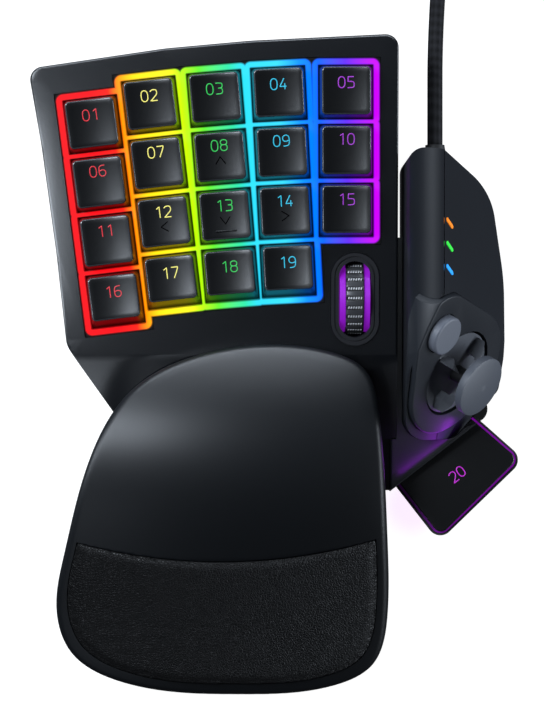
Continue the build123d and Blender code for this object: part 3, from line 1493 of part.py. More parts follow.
# Plug: a moulded body with a tapered relief for the cord and a contact tongue inside its metal shell
plug_start = Vector(*tail_points[-1])
plug_plane = Plane(origin=plug_start, x_dir=(0, 1, 0), z_dir=(-1, 0, 0))
plug_face = plug_plane.offset(plug_relief + plug_length)
with BuildPart() as usb_plug:
    with BuildSketch(plug_plane):
        RectangleRounded(plug_relief_width, plug_relief_width, cord_radius)
    with BuildSketch(plug_plane.offset(plug_relief)):
        RectangleRounded(plug_relief_end_width, plug_relief_end_height, cord_radius)
    loft()
    with BuildSketch(plug_plane.offset(plug_relief)):
        RectangleRounded(plug_width, plug_height, plug_corner)
    extrude(amount=plug_length)
    fillet(usb_plug.faces().sort_by(Axis.X)[0].edges(), radius=plug_end_round)
    with BuildSketch(plug_face):
        with Locations((0, (plug_shell_height - plug_tongue_height) / 2 - plug_shell_wall - axle_clearance)):
            Rectangle(plug_shell_width - 2 * (plug_shell_wall + plug_end_round), plug_tongue_height)
    extrude(amount=plug_shell_length - 2 * plug_shell_wall)
usb_plug.part.label = "usb_plug"
export_step(usb_plug.part, "parts/usb_plug.step")

with BuildPart() as usb_shell:
    with BuildSketch(plug_face):
        RectangleRounded(plug_shell_width, plug_shell_height, plug_end_round)
        RectangleRounded(
            plug_shell_width - 2 * plug_shell_wall, plug_shell_height - 2 * plug_shell_wall,
            plug_end_round - plug_shell_wall, mode=Mode.SUBTRACT,
        )
    extrude(amount=plug_shell_length)
    with BuildSketch(Plane.XY.offset(plug_start.Z)):
        with Locations((plug_face.origin.X - plug_window_place, plug_start.Y)):
            with GridLocations(0, plug_window_step, 1, 2):
                Rectangle(plug_window, plug_window)
    extrude(amount=plug_height, mode=Mode.SUBTRACT)
usb_shell.part.label = "usb_shell"
export_step(usb_shell.part, "parts/usb_shell.step")
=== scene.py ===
# The looks of a left-hand gaming keypad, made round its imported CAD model, in metres.
# Sections follow the order in which the keypad goes together.

import math

import bmesh
import bpy
from mathutils import Matrix, Vector
from mathutils.bvhtree import BVHTree


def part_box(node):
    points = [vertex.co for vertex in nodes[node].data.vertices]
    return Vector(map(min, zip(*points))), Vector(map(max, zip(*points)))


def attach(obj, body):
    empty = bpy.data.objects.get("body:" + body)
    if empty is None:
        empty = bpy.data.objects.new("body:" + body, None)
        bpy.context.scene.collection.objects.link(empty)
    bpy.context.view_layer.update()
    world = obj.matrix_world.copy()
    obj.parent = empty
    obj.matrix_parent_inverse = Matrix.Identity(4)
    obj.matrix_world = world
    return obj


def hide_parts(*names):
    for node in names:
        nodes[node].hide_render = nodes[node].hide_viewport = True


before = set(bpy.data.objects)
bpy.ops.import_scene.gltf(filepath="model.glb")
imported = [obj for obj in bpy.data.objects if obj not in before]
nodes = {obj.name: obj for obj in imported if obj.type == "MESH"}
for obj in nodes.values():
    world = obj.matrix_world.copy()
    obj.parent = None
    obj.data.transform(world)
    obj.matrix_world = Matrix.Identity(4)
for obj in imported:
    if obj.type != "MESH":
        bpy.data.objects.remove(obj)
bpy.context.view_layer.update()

# Camera and studio: the camera looks straight down with a long lens, on a white sweep with a faint
# violet pool of light painted on it by the thumb key, as painted glow from the key's lit rim. A large soft
# box hangs to the left, a strip stands behind, a low one to the right, and small boxes close to the keypad
# each light only the pieces that are linked to them later.


def add_object(name, data):
    """A new object in the scene, from a camera, a lamp, a curve or a mesh."""
    thing = bpy.data.objects.new(name, data)
    bpy.context.scene.collection.objects.link(thing)
    return thing


camera = add_object("camera", bpy.data.cameras.new("camera"))
camera.data.lens = 135
camera.data.sensor_width = 36
camera.data.clip_end = 20
camera.location = (-0.00255, 0.00535, 0.836)
bpy.context.scene.camera = camera
bpy.context.scene.view_settings.view_transform = "Standard"

cool = (0.82, 0.90, 1.0)
studio_lights = {
    "near_left": ((-0.20, 0.015, 0.15), (-0.05, 0.02, 0.03), 0.06, 0.32, 1.0),
    "near_behind": ((0.0, 0.225, 0.16), (0.0, 0.08, 0.03), 0.34, 0.06, 0.9),
    "palm_behind": ((-0.01, 0.28, 0.16), (0.0, 0.08, 0.03), 0.34, 0.06, 2.2),
    "near_front": ((-0.12, -0.42, 0.38), (-0.05, -0.01, 0.02), 0.20, 0.15, 0.4),
    "bridge_fill": ((0.036, -0.02, 0.5), (0.036, -0.02, 0), 0.12, 0.12, 0.06),
    "key_left": ((-0.50, 0.25, 0.77), (-0.02, 0.03, 0.03), 0.30, 0.55, 11),
    "front_left": ((-0.45, -0.55, 0.50), (-0.05, -0.02, 0.03), 0.20, 0.20, 0.5),
    "strip_behind": ((-0.1, 1.0, 0.35), (0, 0, 0.02), 1.2, 0.25, 8),
    "low_right": ((0.9, -0.15, 0.16), (0.05, 0, 0.03), 0.8, 0.16, 9),
}
sky_colour = (0.85, 0.9, 1, 1)
sky_strength = 0.06
floor_half = 3
sweep_grey = (0.25, 0.25, 0.25, 1)
sweep_glow = 0.97
glow_pool_place = (0.042, -0.044, 0)
glow_pool_edge = 0.012
glow_pool_core = 0.004
glow_pool_colour = (0.97, 0.84, 0.99, 1)


def soft_box(name, place, aim, width, height, watts, colour):
    """An area light that faces a point."""
    light = add_object(name, bpy.data.lights.new(name, "AREA"))
    light.data.shape = "RECTANGLE"
    light.data.size = width
    light.data.size_y = height
    light.data.energy = watts
    light.data.color = colour
    light.visible_camera = False
    light.location = place
    light.rotation_euler = (Vector(aim) - Vector(place)).to_track_quat("-Z", "Y").to_euler()
    return light


def shaped_mesh(name, shape, sharp_angle=None):
    """A bmesh made a mesh and let go, shaded smooth up to the angle if one is given."""
    mesh = bpy.data.meshes.new(name)
    shape.to_mesh(mesh)
    shape.free()
    if sharp_angle:
        mesh.polygons.foreach_set("use_smooth", [True] * len(mesh.polygons))
        mesh.set_sharp_from_angle(angle=math.radians(sharp_angle))
    return mesh


def new_material(name):
    """A material, its node tree, its shader and a texture coordinate node."""
    material = bpy.data.materials.new(name)
    material.use_nodes = True
    tree = material.node_tree
    return material, tree, tree.nodes["Principled BSDF"], tree.nodes.new("ShaderNodeTexCoord")


def range_node(tree, value, from_min, from_max, to_min=0, to_max=1, smooth=False):
    """A map range node's output for a value, in a straight line or eased at both ends."""
    node = tree.nodes.new("ShaderNodeMapRange")
    node.interpolation_type = "SMOOTHSTEP" if smooth else "LINEAR"
    limits = {"From Min": from_min, "From Max": from_max, "To Min": to_min, "To Max": to_max}
    for label, limit in limits.items():
        node.inputs[label].default_value = limit
    tree.links.new(value, node.inputs["Value"])
    return node.outputs["Result"]


def mix_node(tree, factor, first, second):
    """The output of a mix of two colours, each a colour or a socket."""
    node = tree.nodes.new("ShaderNodeMix")
    node.data_type = "RGBA"
    for label, colour in (("A", first), ("B", second)):
        if isinstance(colour, bpy.types.NodeSocket):
            tree.links.new(colour, node.inputs[label])
        else:
            node.inputs[label].default_value = colour
    tree.links.new(factor, node.inputs["Factor"])
    return node.outputs["Result"]


lights = {name: soft_box(name, *setting, cool) for name, setting in studio_lights.items()}
world = bpy.data.worlds.new("studio")
world.use_nodes = True
world.node_tree.nodes["Background"].inputs["Color"].default_value = sky_colour
world.node_tree.nodes["Background"].inputs["Strength"].default_value = sky_strength
bpy.context.scene.world = world

floor_shape = bmesh.new()
bmesh.ops.create_grid(floor_shape, x_segments=1, y_segments=1, size=floor_half)
floor = add_object("floor", shaped_mesh("floor", floor_shape))
paper, paper_tree, paper_shader, paper_place = new_material("lit white sweep")
paper_shader.inputs["Base Color"].default_value = sweep_grey
paper_shader.inputs["Roughness"].default_value = 0.9
paper_shader.inputs["Specular IOR Level"].default_value = 0
paper_shader.inputs["Emission Strength"].default_value = sweep_glow
# Painted light: a violet pool of glow round the thumb key, mixed into the sweep's emission and fading from
# its core to its edge.
paper_glow_pool = paper_tree.nodes.new("ShaderNodeVectorMath")
paper_glow_pool.operation = "DISTANCE"
paper_glow_pool.inputs[1].default_value = glow_pool_place
paper_tree.links.new(paper_place.outputs["Object"], paper_glow_pool.inputs[0])
paper_fade = range_node(paper_tree, paper_glow_pool.outputs["Value"], glow_pool_edge, glow_pool_core, smooth=True)
paper_mix = mix_node(paper_tree, paper_fade, (1, 1, 1, 1), glow_pool_colour)
paper_tree.links.new(paper_mix, paper_shader.inputs["Emission Color"])
floor.data.materials.append(paper)
floor.visible_glossy = False
floor.visible_diffuse = False


# Cord: one braided USB cord of 1.8 m. It leaves the gland, drops to the desk and is wound into a neat coil
# behind the keypad, held by its tie. The end comes down off the coil to the plug.
cord_diameter = 0.0048
coil_centre = Vector((0.017, 0.160, 0))
coil_outer_radius = 0.0335
coil_step = 0.0055
coil_layers = 4
turns_in_layer = 2.5
climb_turns = 0.5
coil_low = 0.0032
points_in_turn = 16
points_in_layer = int(turns_in_layer * points_in_turn)
yarn_dark = (0.002, 0.002, 0.0025)
yarn_light = (0.016, 0.016, 0.019)
yarn_pitches = 520
yarn_strands = 4
yarn_bump = 0.6
yarn_height = 0.0004
lead_points = [
    (0.0487, 0.0701, 0.0079), (0.0487, 0.0830, 0.0079), (0.0490, 0.1000, 0.0033), (0.0498, 0.1175, 0.0032),
    (0.0510, 0.1330, 0.0032), (0.0505, 0.1452, 0.0032), (0.0505, 0.1552, 0.0032),
]
tail_points = [
    (0.0505, 0.1648, 0.0197), (0.0505, 0.1750, 0.0197), (0.0500, 0.1880, 0.0160), (0.0440, 0.2000, 0.0100),
    (0.0325, 0.2080, 0.0056), (0.0185, 0.2105, 0.0042), (0.0050, 0.2095, 0.0040), (-0.0060, 0.2095, 0.0040),
]


def coil_point(index):
    """A control point of the coil, set out a little so that the spline keeps the turn's radius."""
    through = index % (2 * points_in_layer)
    inward = min(through, 2 * points_in_layer - through)
    radius = coil_outer_radius - inward * coil_step / points_in_turn
    radius /= 0.75 + 0.25 * math.cos(2 * math.pi / points_in_turn)
    height = coil_low
    for layer in range(1, coil_layers):
        progress = (index - layer * points_in_layer) / (climb_turns * points_in_turn) + 0.5
        progress = min(max(progress, 0), 1)
        height += coil_step * progress**2 * (3 - 2 * progress)
    turn = Matrix.Rotation(2 * math.pi * index / points_in_turn, 3, "Z")
    return coil_centre + turn @ Vector((radius, 0, 0)) + Vector((0, 0, height))


coil_points = [coil_point(index) for index in range(1, points_in_layer * coil_layers)]
route = lead_points + [tuple(point) for point in coil_points] + tail_points
cord_curve = bpy.data.curves.new("braided_cord", "CURVE")
cord_curve.dimensions = "3D"
cord_curve.bevel_depth = 1
cord_curve.bevel_resolution = 3
cord_curve.resolution_u = 6
cord_curve.use_fill_caps = True
spline = cord_curve.splines.new("NURBS")
spline.points.add(len(route) - 1)
for point, place in zip(spline.points, route):
    point.co = (*place, 1)
    point.radius = cord_diameter / 2
spline.order_u = 3
spline.use_endpoint_u = True
cord = add_object("braided_cord", cord_curve)
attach(cord, "housing")
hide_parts("cable_lead", "cable_coil", "cable_tail")


def math_node(tree, operation, *values):
    """A math node's output, its inputs sockets or constants."""
    node = tree.nodes.new("ShaderNodeMath")
    node.operation = operation
    for socket, value in zip(node.inputs, values):
        if isinstance(value, bpy.types.NodeSocket):
            tree.links.new(value, socket)
        else:
            socket.default_value = value
    return node.outputs[0]


def split_node(tree, vector):
    """The X, Y and Z outputs of a vector."""
    node = tree.nodes.new("ShaderNodeSeparateXYZ")
    tree.links.new(vector, node.inputs[0])
    return node.outputs


def add_bump(tree, shader, height, strength, distance):
    """Turn a height into the shader's bump."""
    bump = tree.nodes.new("ShaderNodeBump")
    bump.inputs["Strength"].default_value = strength
    bump.inputs["Distance"].default_value = distance
    tree.links.new(height, bump.inputs["Height"])
    tree.links.new(bump.outputs["Normal"], shader.inputs["Normal"])


def braid(name, dark, light, pitches, strands):
    """Two sets of yarns that cross, from the cord's own map: along it, and round it."""
    material, tree, shader, place = new_material(name)
    shader.inputs["Roughness"].default_value = 0.75
    shader.inputs["Specular IOR Level"].default_value = 0.2
    split = split_node(tree, place.outputs["UV"])
    waves = []
    for sign in (1, -1):
        along = math_node(tree, "MULTIPLY", split["X"], pitches * 2 * math.pi)
        both = math_node(tree, "MULTIPLY_ADD", split["Y"], sign * strands * 2 * math.pi, along)
        waves.append(math_node(tree, "SINE", both))
    weave = range_node(tree, math_node(tree, "MULTIPLY", *waves), -1, 1)
    tree.links.new(mix_node(tree, weave, (*dark, 1), (*light, 1)), shader.inputs["Base Color"])
    add_bump(tree, shader, weave, yarn_bump, yarn_height)
    return material


cord.data.materials.append(braid("braided cord", yarn_dark, yarn_light, yarn_pitches, yarn_strands))


# Moulded parts on the cord, and the finish of all moulded plastic from here on: a fine spark-eroded
# texture in the gloss and the bump, and a slow change of tone over a few centimetres.
tone_scale = 35
tone_change = 0.12
gloss_change = 0.05
spark_height = 0.0001
weld_reach = 0.000002


def noise_node(tree, vector, scale):
    """The outputs of a noise texture."""
    node = tree.nodes.new("ShaderNodeTexNoise")
    node.inputs["Scale"].default_value = scale
    tree.links.new(vector, node.inputs["Vector"])
    return node.outputs


def shade(colour, share):
    """A colour made darker or lighter, with full alpha."""
    return (*[channel * share for channel in colour], 1)


def moulded(name, colour, roughness=0.4, grain=2600, depth=0.05, metal=0.0, gleam=0.5):
    """Moulded plastic, rubber or metal in one colour, with its grain in the gloss and the bump."""
    material, tree, shader, place = new_material(name)
    shader.inputs["Metallic"].default_value = metal
    shader.inputs["Specular IOR Level"].default_value = gleam
    tone = noise_node(tree, place.outputs["Object"], tone_scale)
    mix = mix_node(tree, tone["Fac"], shade(colour, 1 - tone_change), shade(colour, 1 + tone_change))
    tree.links.new(mix, shader.inputs["Base Color"])
    sparks = noise_node(tree, place.outputs["Object"], grain)
    gloss = range_node(tree, sparks["Fac"], 0, 1, roughness - gloss_change, roughness + gloss_change)
    tree.links.new(gloss, shader.inputs["Roughness"])
    add_bump(tree, shader, sparks["Fac"], depth, spark_height)
    return material


def dress(names, material, angle=28, rounding=0):
    """A CAD node's own finish, its triangles welded, its rims rounded and its faces shaded smooth."""
    for name in names:
        node = nodes[name]
        node.data.materials.clear()
        node.data.materials.append(material)
        node.data.polygons.foreach_set("use_smooth", [True] * len(node.data.polygons))
        weld = node.modifiers.new("weld", "WELD")
        weld.merge_threshold = weld_reach
        if rounding:
            rim = node.modifiers.new("rim", "BEVEL")
            rim.width = rounding
            rim.segments = 4
            rim.limit_method = "ANGLE"
            rim.angle_limit = math.radians(angle)
        split = node.modifiers.new("edges", "EDGE_SPLIT")
        split.split_angle = math.radians(angle)


dress(["cable_gland"], moulded("gland rubber", (0.012, 0.012, 0.013), 0.55))
dress(["usb_plug"], moulded("plug overmould", (0.014, 0.014, 0.015), 0.45))
steel = moulded("steel", (0.55, 0.56, 0.58), 0.28, 900, 0.03, metal=1.0)
dress(["usb_shell", "housing_screws", "thumb_key_pin"], steel)

# Tie: a hook-and-loop band round the coil's turns. It goes round once, and its end laps over on top and
# down the outer side.
tie_angle = 200
tie_thickness = 0.00055
tie_corner = 0.0015
tie_corner_steps = 6
tie_section = [
    (-1, 0.3), (-1, -0.3), (-0.97, -0.5), (0.97, -0.5), (1, -0.3), (1, 0.3), (0.97, 0.5), (-0.97, 0.5),
]
tie_frame = Matrix.Translation(coil_centre) @ Matrix.Rotation(math.radians(tie_angle), 4, "Z")
tie_places = [tie_frame.inverted() @ vert.co for vert in nodes["cable_tie"].data.vertices]
tie_low = Vector([min(place[axis] for place in tie_places) for axis in range(3)])
tie_high = Vector([max(place[axis] for place in tie_places) for axis in range(3)])
tie_middle = (tie_low + tie_high) / 2
tie_half = (tie_high - tie_low - Vector((tie_thickness, 0, tie_thickness))) / 2
tie_arcs = []
for x, z, start in ((1, 1, 90), (1, -1, 0), (-1, -1, -90), (-1, 1, -180)):
    centre = Vector((x * (tie_half.x - tie_corner), 0, z * (tie_half.z - tie_corner)))
    for step in range(tie_corner_steps + 1):
        angle = math.radians(start - 90 * step / tie_corner_steps)
        out = Vector((math.cos(angle), 0, math.sin(angle)))
        tie_arcs.append((centre + tie_corner * out, out))
tie_top = (Vector((0, 0, tie_half.z)), Vector((0, 0, 1)))
tie_side = (Vector((tie_half.x, 0, 0)), Vector((1, 0, 0)))
tie_line = [(point, out, 0) for point, out in [tie_top] + tie_arcs]
tie_line += [(point, out, 1) for point, out in [tie_top] + tie_arcs[:tie_corner_steps + 1] + [tie_side]]
tie_shape = bmesh.new()
tie_rings = []
for point, out, layer in tie_line:
    ring = []
    for across, lift in tie_section:
        place = tie_middle + point + out * (layer + lift) * tie_thickness
        place += Vector((0, across * tie_half.y, 0))
        ring.append(tie_shape.verts.new(tie_frame @ place))
    tie_rings.append(ring)
for ring, after in zip(tie_rings, tie_rings[1:]):
    for index in range(len(ring)):
        beside = (index + 1) % len(ring)
        tie_shape.faces.new((ring[index], after[index], after[beside], ring[beside]))
tie_shape.faces.new(tie_rings[0])
tie_shape.faces.new(reversed(tie_rings[-1]))
bmesh.ops.recalc_face_normals(tie_shape, faces=tie_shape.faces)
tie_mesh = shaped_mesh("tie_band", tie_shape, 50)
tie_mesh.materials.append(moulded("looped nylon", (0.010, 0.010, 0.011), 0.9, 3000, 0.8, gleam=0.15))
tie_band = add_object("tie_band", tie_mesh)
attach(tie_band, "housing")
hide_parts("cable_tie")

# Base tray: the moulded floor of the housing, on rubber feet. The boards, the dome sheet, the switch plate,
# the wheel's cradle and the pad's gimbal are screwed or clipped in it, and none of them shows from outside.
housing_plastic = moulded("housing plastic", (0.0022, 0.0025, 0.0031), 0.23, gleam=0.42)
dress(["base_tray"], housing_plastic)
dress(["rubber_feet", "palm_feet"], moulded("foot rubber", (0.012, 0.012, 0.012), 0.7))
inner_plastic = moulded("inner plastic", (0.02, 0.02, 0.022), 0.5)
inner_parts = (
    "switch_plate", "wheel_cradle", "pad_gimbal", "pad_bracket", "thumb_key_lever", "palm_tongue",
    "palm_latch",
)
dress(inner_parts, inner_plastic)
dress(["main_board", "pad_board"], moulded("solder mask", (0.01, 0.06, 0.03), 0.4))
dress(["key_leds"], moulded("lamp lens", (0.8, 0.8, 0.75), 0.2))
dress(["dome_sheet"], moulded("silicone", (0.35, 0.36, 0.35), 0.5))

# Light guide: a clear moulded grid between the caps, lit from below, that gives out light in a line in the
# middle of each gap and a line round the whole field; its glow is painted darker next to the caps as painted
# shadow of their skirts. Lamps under it light it red, orange, yellow, green, cyan, blue and violet across
# the columns.
column_step = 0.0193
row_step = 0.01795
cap_width = column_step - 0.0031
cap_length = row_step - 0.00195
shadow_dark_until = 0.0001
shadow_clear_from = 0.0008
border_full = 0.0017
border_end = 0.0025
column_turns = (7.0, 6.6, 4.7, 3.0, 0.3)
column_rows = (4, 4, 4, 4, 3)
column_heads = ((-2.960, 1.362), (-2.041, 1.684), (-1.022, 1.799), (-0.023, 1.880), (1.032, 1.910))
guide_black = (0.01, 0.01, 0.01, 1)
fan_lean = 1.57
fan_start = -0.052
fan_top = 0.081
rainbow_left = -0.070
rainbow_width = 0.103
rainbow_stops = (
    (-0.058, (0.85, 0.0, 0.004)), (-0.052, (0.95, 0.01, 0.004)), (-0.0483, (1.0, 0.27, 0.0)),
    (-0.0440, (0.95, 0.60, 0.0)), (-0.0345, (0.90, 0.82, 0.01)), (-0.0296, (0.40, 0.95, 0.0)),
    (-0.0240, (0.10, 0.70, 0.02)), (-0.0150, (0.02, 0.60, 0.30)), (-0.0101, (0.02, 0.55, 0.75)),
    (-0.0005, (0.03, 0.55, 0.80)), (0.0060, (0.0, 0.22, 1.0)), (0.0120, (0.0, 0.10, 1.0)),
    (0.0200, (0.10, 0.02, 0.85)), (0.0290, (0.45, 0.0, 0.80)),
)
deck_matrix = Matrix.Translation((0, 0.050, 0.032)) @ Matrix.Rotation(math.radians(5), 4, "X")


def key_matrix(column, row):
    """The place of a key on the tilted deck: under its column's head, turned with the column."""
    turn = math.radians(column_turns[column])
    head_x, head_y = column_heads[column]
    x = head_x * column_step + row * row_step * math.sin(turn)
    y = head_y * row_step - row * row_step * math.cos(turn)
    return deck_matrix @ Matrix.Translation((x, y, 0)) @ Matrix.Rotation(turn, 4, "Z")


def cap_distance(tree, place):
    """The distance of a point on the deck from the nearest cap's outline."""
    nearest = None
    for column, rows in enumerate(column_rows):
        matrix = key_matrix(column, 0)
        local = tree.nodes.new("ShaderNodeMapping")
        local.vector_type = "TEXTURE"
        local.inputs["Location"].default_value = matrix.translation
        local.inputs["Rotation"].default_value = matrix.to_euler()
        tree.links.new(place, local.inputs["Vector"])
        split = split_node(tree, local.outputs[0])
        row = math_node(tree, "ROUND", math_node(tree, "MULTIPLY", split["Y"], -1 / row_step))
        row = math_node(tree, "MINIMUM", math_node(tree, "MAXIMUM", row, 0), rows - 1)
        along = math_node(tree, "MULTIPLY_ADD", row, row_step, split["Y"])
        along = math_node(tree, "SUBTRACT", math_node(tree, "ABSOLUTE", along), cap_length / 2)
        across = math_node(tree, "SUBTRACT", math_node(tree, "ABSOLUTE", split["X"]), cap_width / 2)
        beyond = [math_node(tree, "MAXIMUM", side, 0) for side in (along, across)]
        squares = [math_node(tree, "POWER", side, 2) for side in beyond]
        distance = math_node(tree, "SQRT", math_node(tree, "ADD", *squares))
        nearest = distance if nearest is None else math_node(tree, "MINIMUM", nearest, distance)
    return nearest


def ramp_node(tree, share, stops, interpolation="LINEAR"):
    """The colour at a share of the way along stops that each have a position and a colour."""
    node = tree.nodes.new("ShaderNodeValToRGB")
    node.color_ramp.interpolation = interpolation
    while len(node.color_ramp.elements) < len(stops):
        node.color_ramp.elements.new(0.5)
    for stop, (position, colour) in zip(node.color_ramp.elements, stops):
        stop.position = position
        stop.color = (*colour, 1)
    tree.links.new(share, node.inputs["Fac"])
    return node.outputs["Color"]


def rainbow(name, strength):
    """The grid's light: its hue follows the fanned columns, and the distance to the caps masks its glow, as
    painted shadow of the cap skirts.
    """
    material, tree, shader, place = new_material(name)
    shader.inputs["Base Color"].default_value = guide_black
    shader.inputs["Roughness"].default_value = 0.35
    shader.inputs["Specular IOR Level"].default_value = 0.1
    split = split_node(tree, place.outputs["Object"])
    lean = math_node(tree, "MULTIPLY_ADD", split["X"], fan_lean, fan_start)
    down = math_node(tree, "SUBTRACT", fan_top, split["Y"])
    column = math_node(tree, "MULTIPLY_ADD", down, lean, split["X"])
    share = range_node(tree, column, rainbow_left, rainbow_left + rainbow_width)
    stops = [((x - rainbow_left) / rainbow_width, colour) for x, colour in rainbow_stops]
    tree.links.new(ramp_node(tree, share, stops), shader.inputs["Emission Color"])
    distance = cap_distance(tree, place.outputs["Object"])
    # Painted shadow: the glow dims close to each cap's outline, where the cap skirts shade it, and ends
    # outside the field's border.
    glow = strength
    for start, full in ((shadow_dark_until, shadow_clear_from), (border_end, border_full)):
        glow = math_node(tree, "MULTIPLY", range_node(tree, distance, start, full, smooth=True), glow)
    tree.links.new(glow, shader.inputs["Emission Strength"])
    return material


dress(["light_guide"], rainbow("lit grid", 1.5))

# Housing shells: satin ABS, one moulding each for the deck, the bridge, the two halves of the pod and the
# wheel's bezel. The small boxes of the studio light only the shells that each is linked to here.
dress(["deck_shell"], housing_plastic)
dress(["bridge_cover"], moulded("bridge plastic", (0.007, 0.0076, 0.009), 0.35, gleam=0.5))
dress(["pod_shell_left"], moulded("pod plastic", (0.0095, 0.0107, 0.0135), 0.45, gleam=0.12))
# Painted light: the pod's right half is a lighter copy of the pod plastic, for the light on the facet that
# faces the low right box.
dress(["pod_shell_right"], moulded("pod side plastic painted lighter", (0.012, 0.0135, 0.017), 0.5, gleam=0.1))
dress(["wheel_bezel"], moulded("bezel plastic", (0.013, 0.0135, 0.016), 0.3))
lit_pieces = {
    "near_left": ("deck_shell", "palm_shell", "bridge_cover"), "near_behind": ("deck_shell",),
    "palm_behind": ("palm_shell", "bridge_cover"), "near_front": ("deck_shell",),
    "bridge_fill": ("bridge_cover",),
}
for light_name, piece_names in lit_pieces.items():
    receivers = bpy.data.collections.new(f"{light_name} receivers")
    for name in piece_names:
        receivers.objects.link(nodes[name])
    lights[light_name].light_linking.receiver_collection = receivers

# Bridge wall: the inner wall of the bridge cover, of the same ABS and moulded with it. It is thick enough to
# fill the gap to the palm rest's curved side.
wall_gap = 0.0005
wall_length = 0.0165
wall_foot = 0.0042
wall_top_back = 0.0163
wall_top_front = 0.0146
wall_tuck = 0.0002
wall_set_back = 0.0003
wall_edge = 0.0003
side_reach = 0.002


def palm_side(y):
    """How far the palm rest's right side reaches at a place along it."""
    near = [vert.co.x for vert in nodes["palm_shell"].data.vertices if abs(vert.co.y - y) < side_reach]
    return max(near)


wall_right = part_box("bridge_cover")[0][0] + wall_tuck
wall_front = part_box("bridge_cover")[0][1] + wall_set_back
wall_back = wall_front + wall_length
wall_shape = bmesh.new()
bmesh.ops.create_cube(wall_shape, size=1)
for vert in wall_shape.verts:
    back = vert.co.y > 0
    vert.co.y = wall_back if back else wall_front
    vert.co.x = wall_right if vert.co.x > 0 else palm_side(vert.co.y) + wall_gap
    vert.co.z = (wall_top_back if back else wall_top_front) if vert.co.z > 0 else wall_foot
bmesh.ops.bevel(
    wall_shape, geom=wall_shape.edges[:], offset=wall_edge, segments=2, profile=0.5, affect="EDGES",
)
wall_mesh = shaped_mesh("bridge_wall", wall_shape)
wall_mesh.materials.append(housing_plastic)
bridge_wall = add_object("bridge_wall", wall_mesh)
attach(bridge_wall, "housing")

# Keycaps: nineteen hollow ABS caps, moulded in four row heights with a cylindrical dish, a satin top and a
# round stem. Each snaps into its sleeve from above.
cap_rise = 0.006
cap_skirt = 0.0012
cap_side_draft = 0.0007
cap_back_draft = 0.0004
cap_front_drafts = (0.0012, 0.0011, 0.0012, 0.0024)
cap_slopes = (3.0, 0.5, -1.5, -4.0)
cap_dish = 0.0010
cap_scoop = 0.0003
cap_corner = 0.0013
cap_corner_steps = 5
cap_side_steps = 8
cap_edge = 0.00045
cap_edge_steps = 3
cap_top_steps = 6
cap_wall = 0.0011
cap_roof = 0.0014
stem_radius = 0.00275
stem_reach = 0.009
smooth_up_to = 50
key_grid = [(row, column) for row in range(4) for column in range(5) if row < column_rows[column]]


def cap_height(row, x, y):
    """The dished and sloping top of a cap."""
    dish = cap_dish * (1 - (2 * x / cap_width) ** 2) + cap_scoop * (1 - (2 * y / cap_length) ** 2)
    return cap_rise - dish + y * math.tan(math.radians(cap_slopes[row]))


def round_rectangle(half_width, front, back, corner):
    """Points counter-clockwise round a rectangle with round corners, its straight sides divided too."""
    points = []
    for x, y, start in ((1, back, 0), (-1, back, 90), (-1, front, 180), (1, front, 270)):
        centre = Vector((x * (half_width - corner), y - math.copysign(corner, y)))
        for step in range(cap_corner_steps + 1):
            angle = math.radians(start + 90 * step / cap_corner_steps)
            points.append(centre + corner * Vector((math.cos(angle), math.sin(angle))))
    ring = []
    for index, point in enumerate(points):
        ring.append(point)
        if index % (cap_corner_steps + 1) == cap_corner_steps:
            following = points[(index + 1) % len(points)]
            ring += [point.lerp(following, step / cap_side_steps) for step in range(1, cap_side_steps)]
    return ring


def cap_shape(row):
    """A hollow cap as rings, from the middle of its dished top out, down its sides and up again inside."""
    half_width = cap_width / 2 - cap_side_draft
    front = cap_front_drafts[row] - cap_length / 2
    back = cap_length / 2 - cap_back_draft
    edge_rings = []
    for step in range(cap_edge_steps + 1):
        angle = math.pi / 2 * step / cap_edge_steps
        inset = cap_edge * (1 - math.sin(angle))
        ring = round_rectangle(half_width - inset, front + inset, back - inset, cap_corner - inset)
        edge_rings.append((ring, cap_rise - cap_edge * (1 - math.cos(angle)), 1))
    middle = Vector((0, (front + back) / 2))
    rings = []
    for step in range(1, cap_top_steps):
        ring = [middle.lerp(point, step / cap_top_steps) for point in edge_rings[0][0]]
        rings.append((ring, cap_rise, 1))
    rings += edge_rings
    for inset in (0, cap_wall):
        half_length = cap_length / 2 - inset
        ring = round_rectangle(cap_width / 2 - inset, -half_length, half_length, cap_corner)
        rings.append((ring, -cap_skirt, 0))
    roof_ring = round_rectangle(half_width - cap_wall, front + cap_wall, back - cap_wall, cap_corner)
    rings.append((roof_ring, cap_rise - cap_roof, 1))

    shape = bmesh.new()
    loops = []
    for ring, height, sloped in rings:
        loop = []
        for point in ring:
            rise = sloped * (cap_height(row, point.x, point.y) - cap_rise)
            loop.append(shape.verts.new((point.x, point.y, height + rise)))
        loops.append(loop)
    for level, (inner, outer) in enumerate(zip(loops, loops[1:])):
        for index in range(len(inner)):
            after = (index + 1) % len(inner)
            face = shape.faces.new((inner[index], outer[index], outer[after], inner[after]))
            # The rounded rim round each cap's top takes the second material, a painted highlight.
            face.material_index = int(0 <= level - cap_top_steps + 1 < cap_edge_steps)
    shape.faces.new(loops[0])
    shape.faces.new(reversed(loops[-1]))
    return shape


cap_plastic = moulded("keycap plastic", (0.002, 0.0023, 0.0028), 0.32, 3200, 0.03)
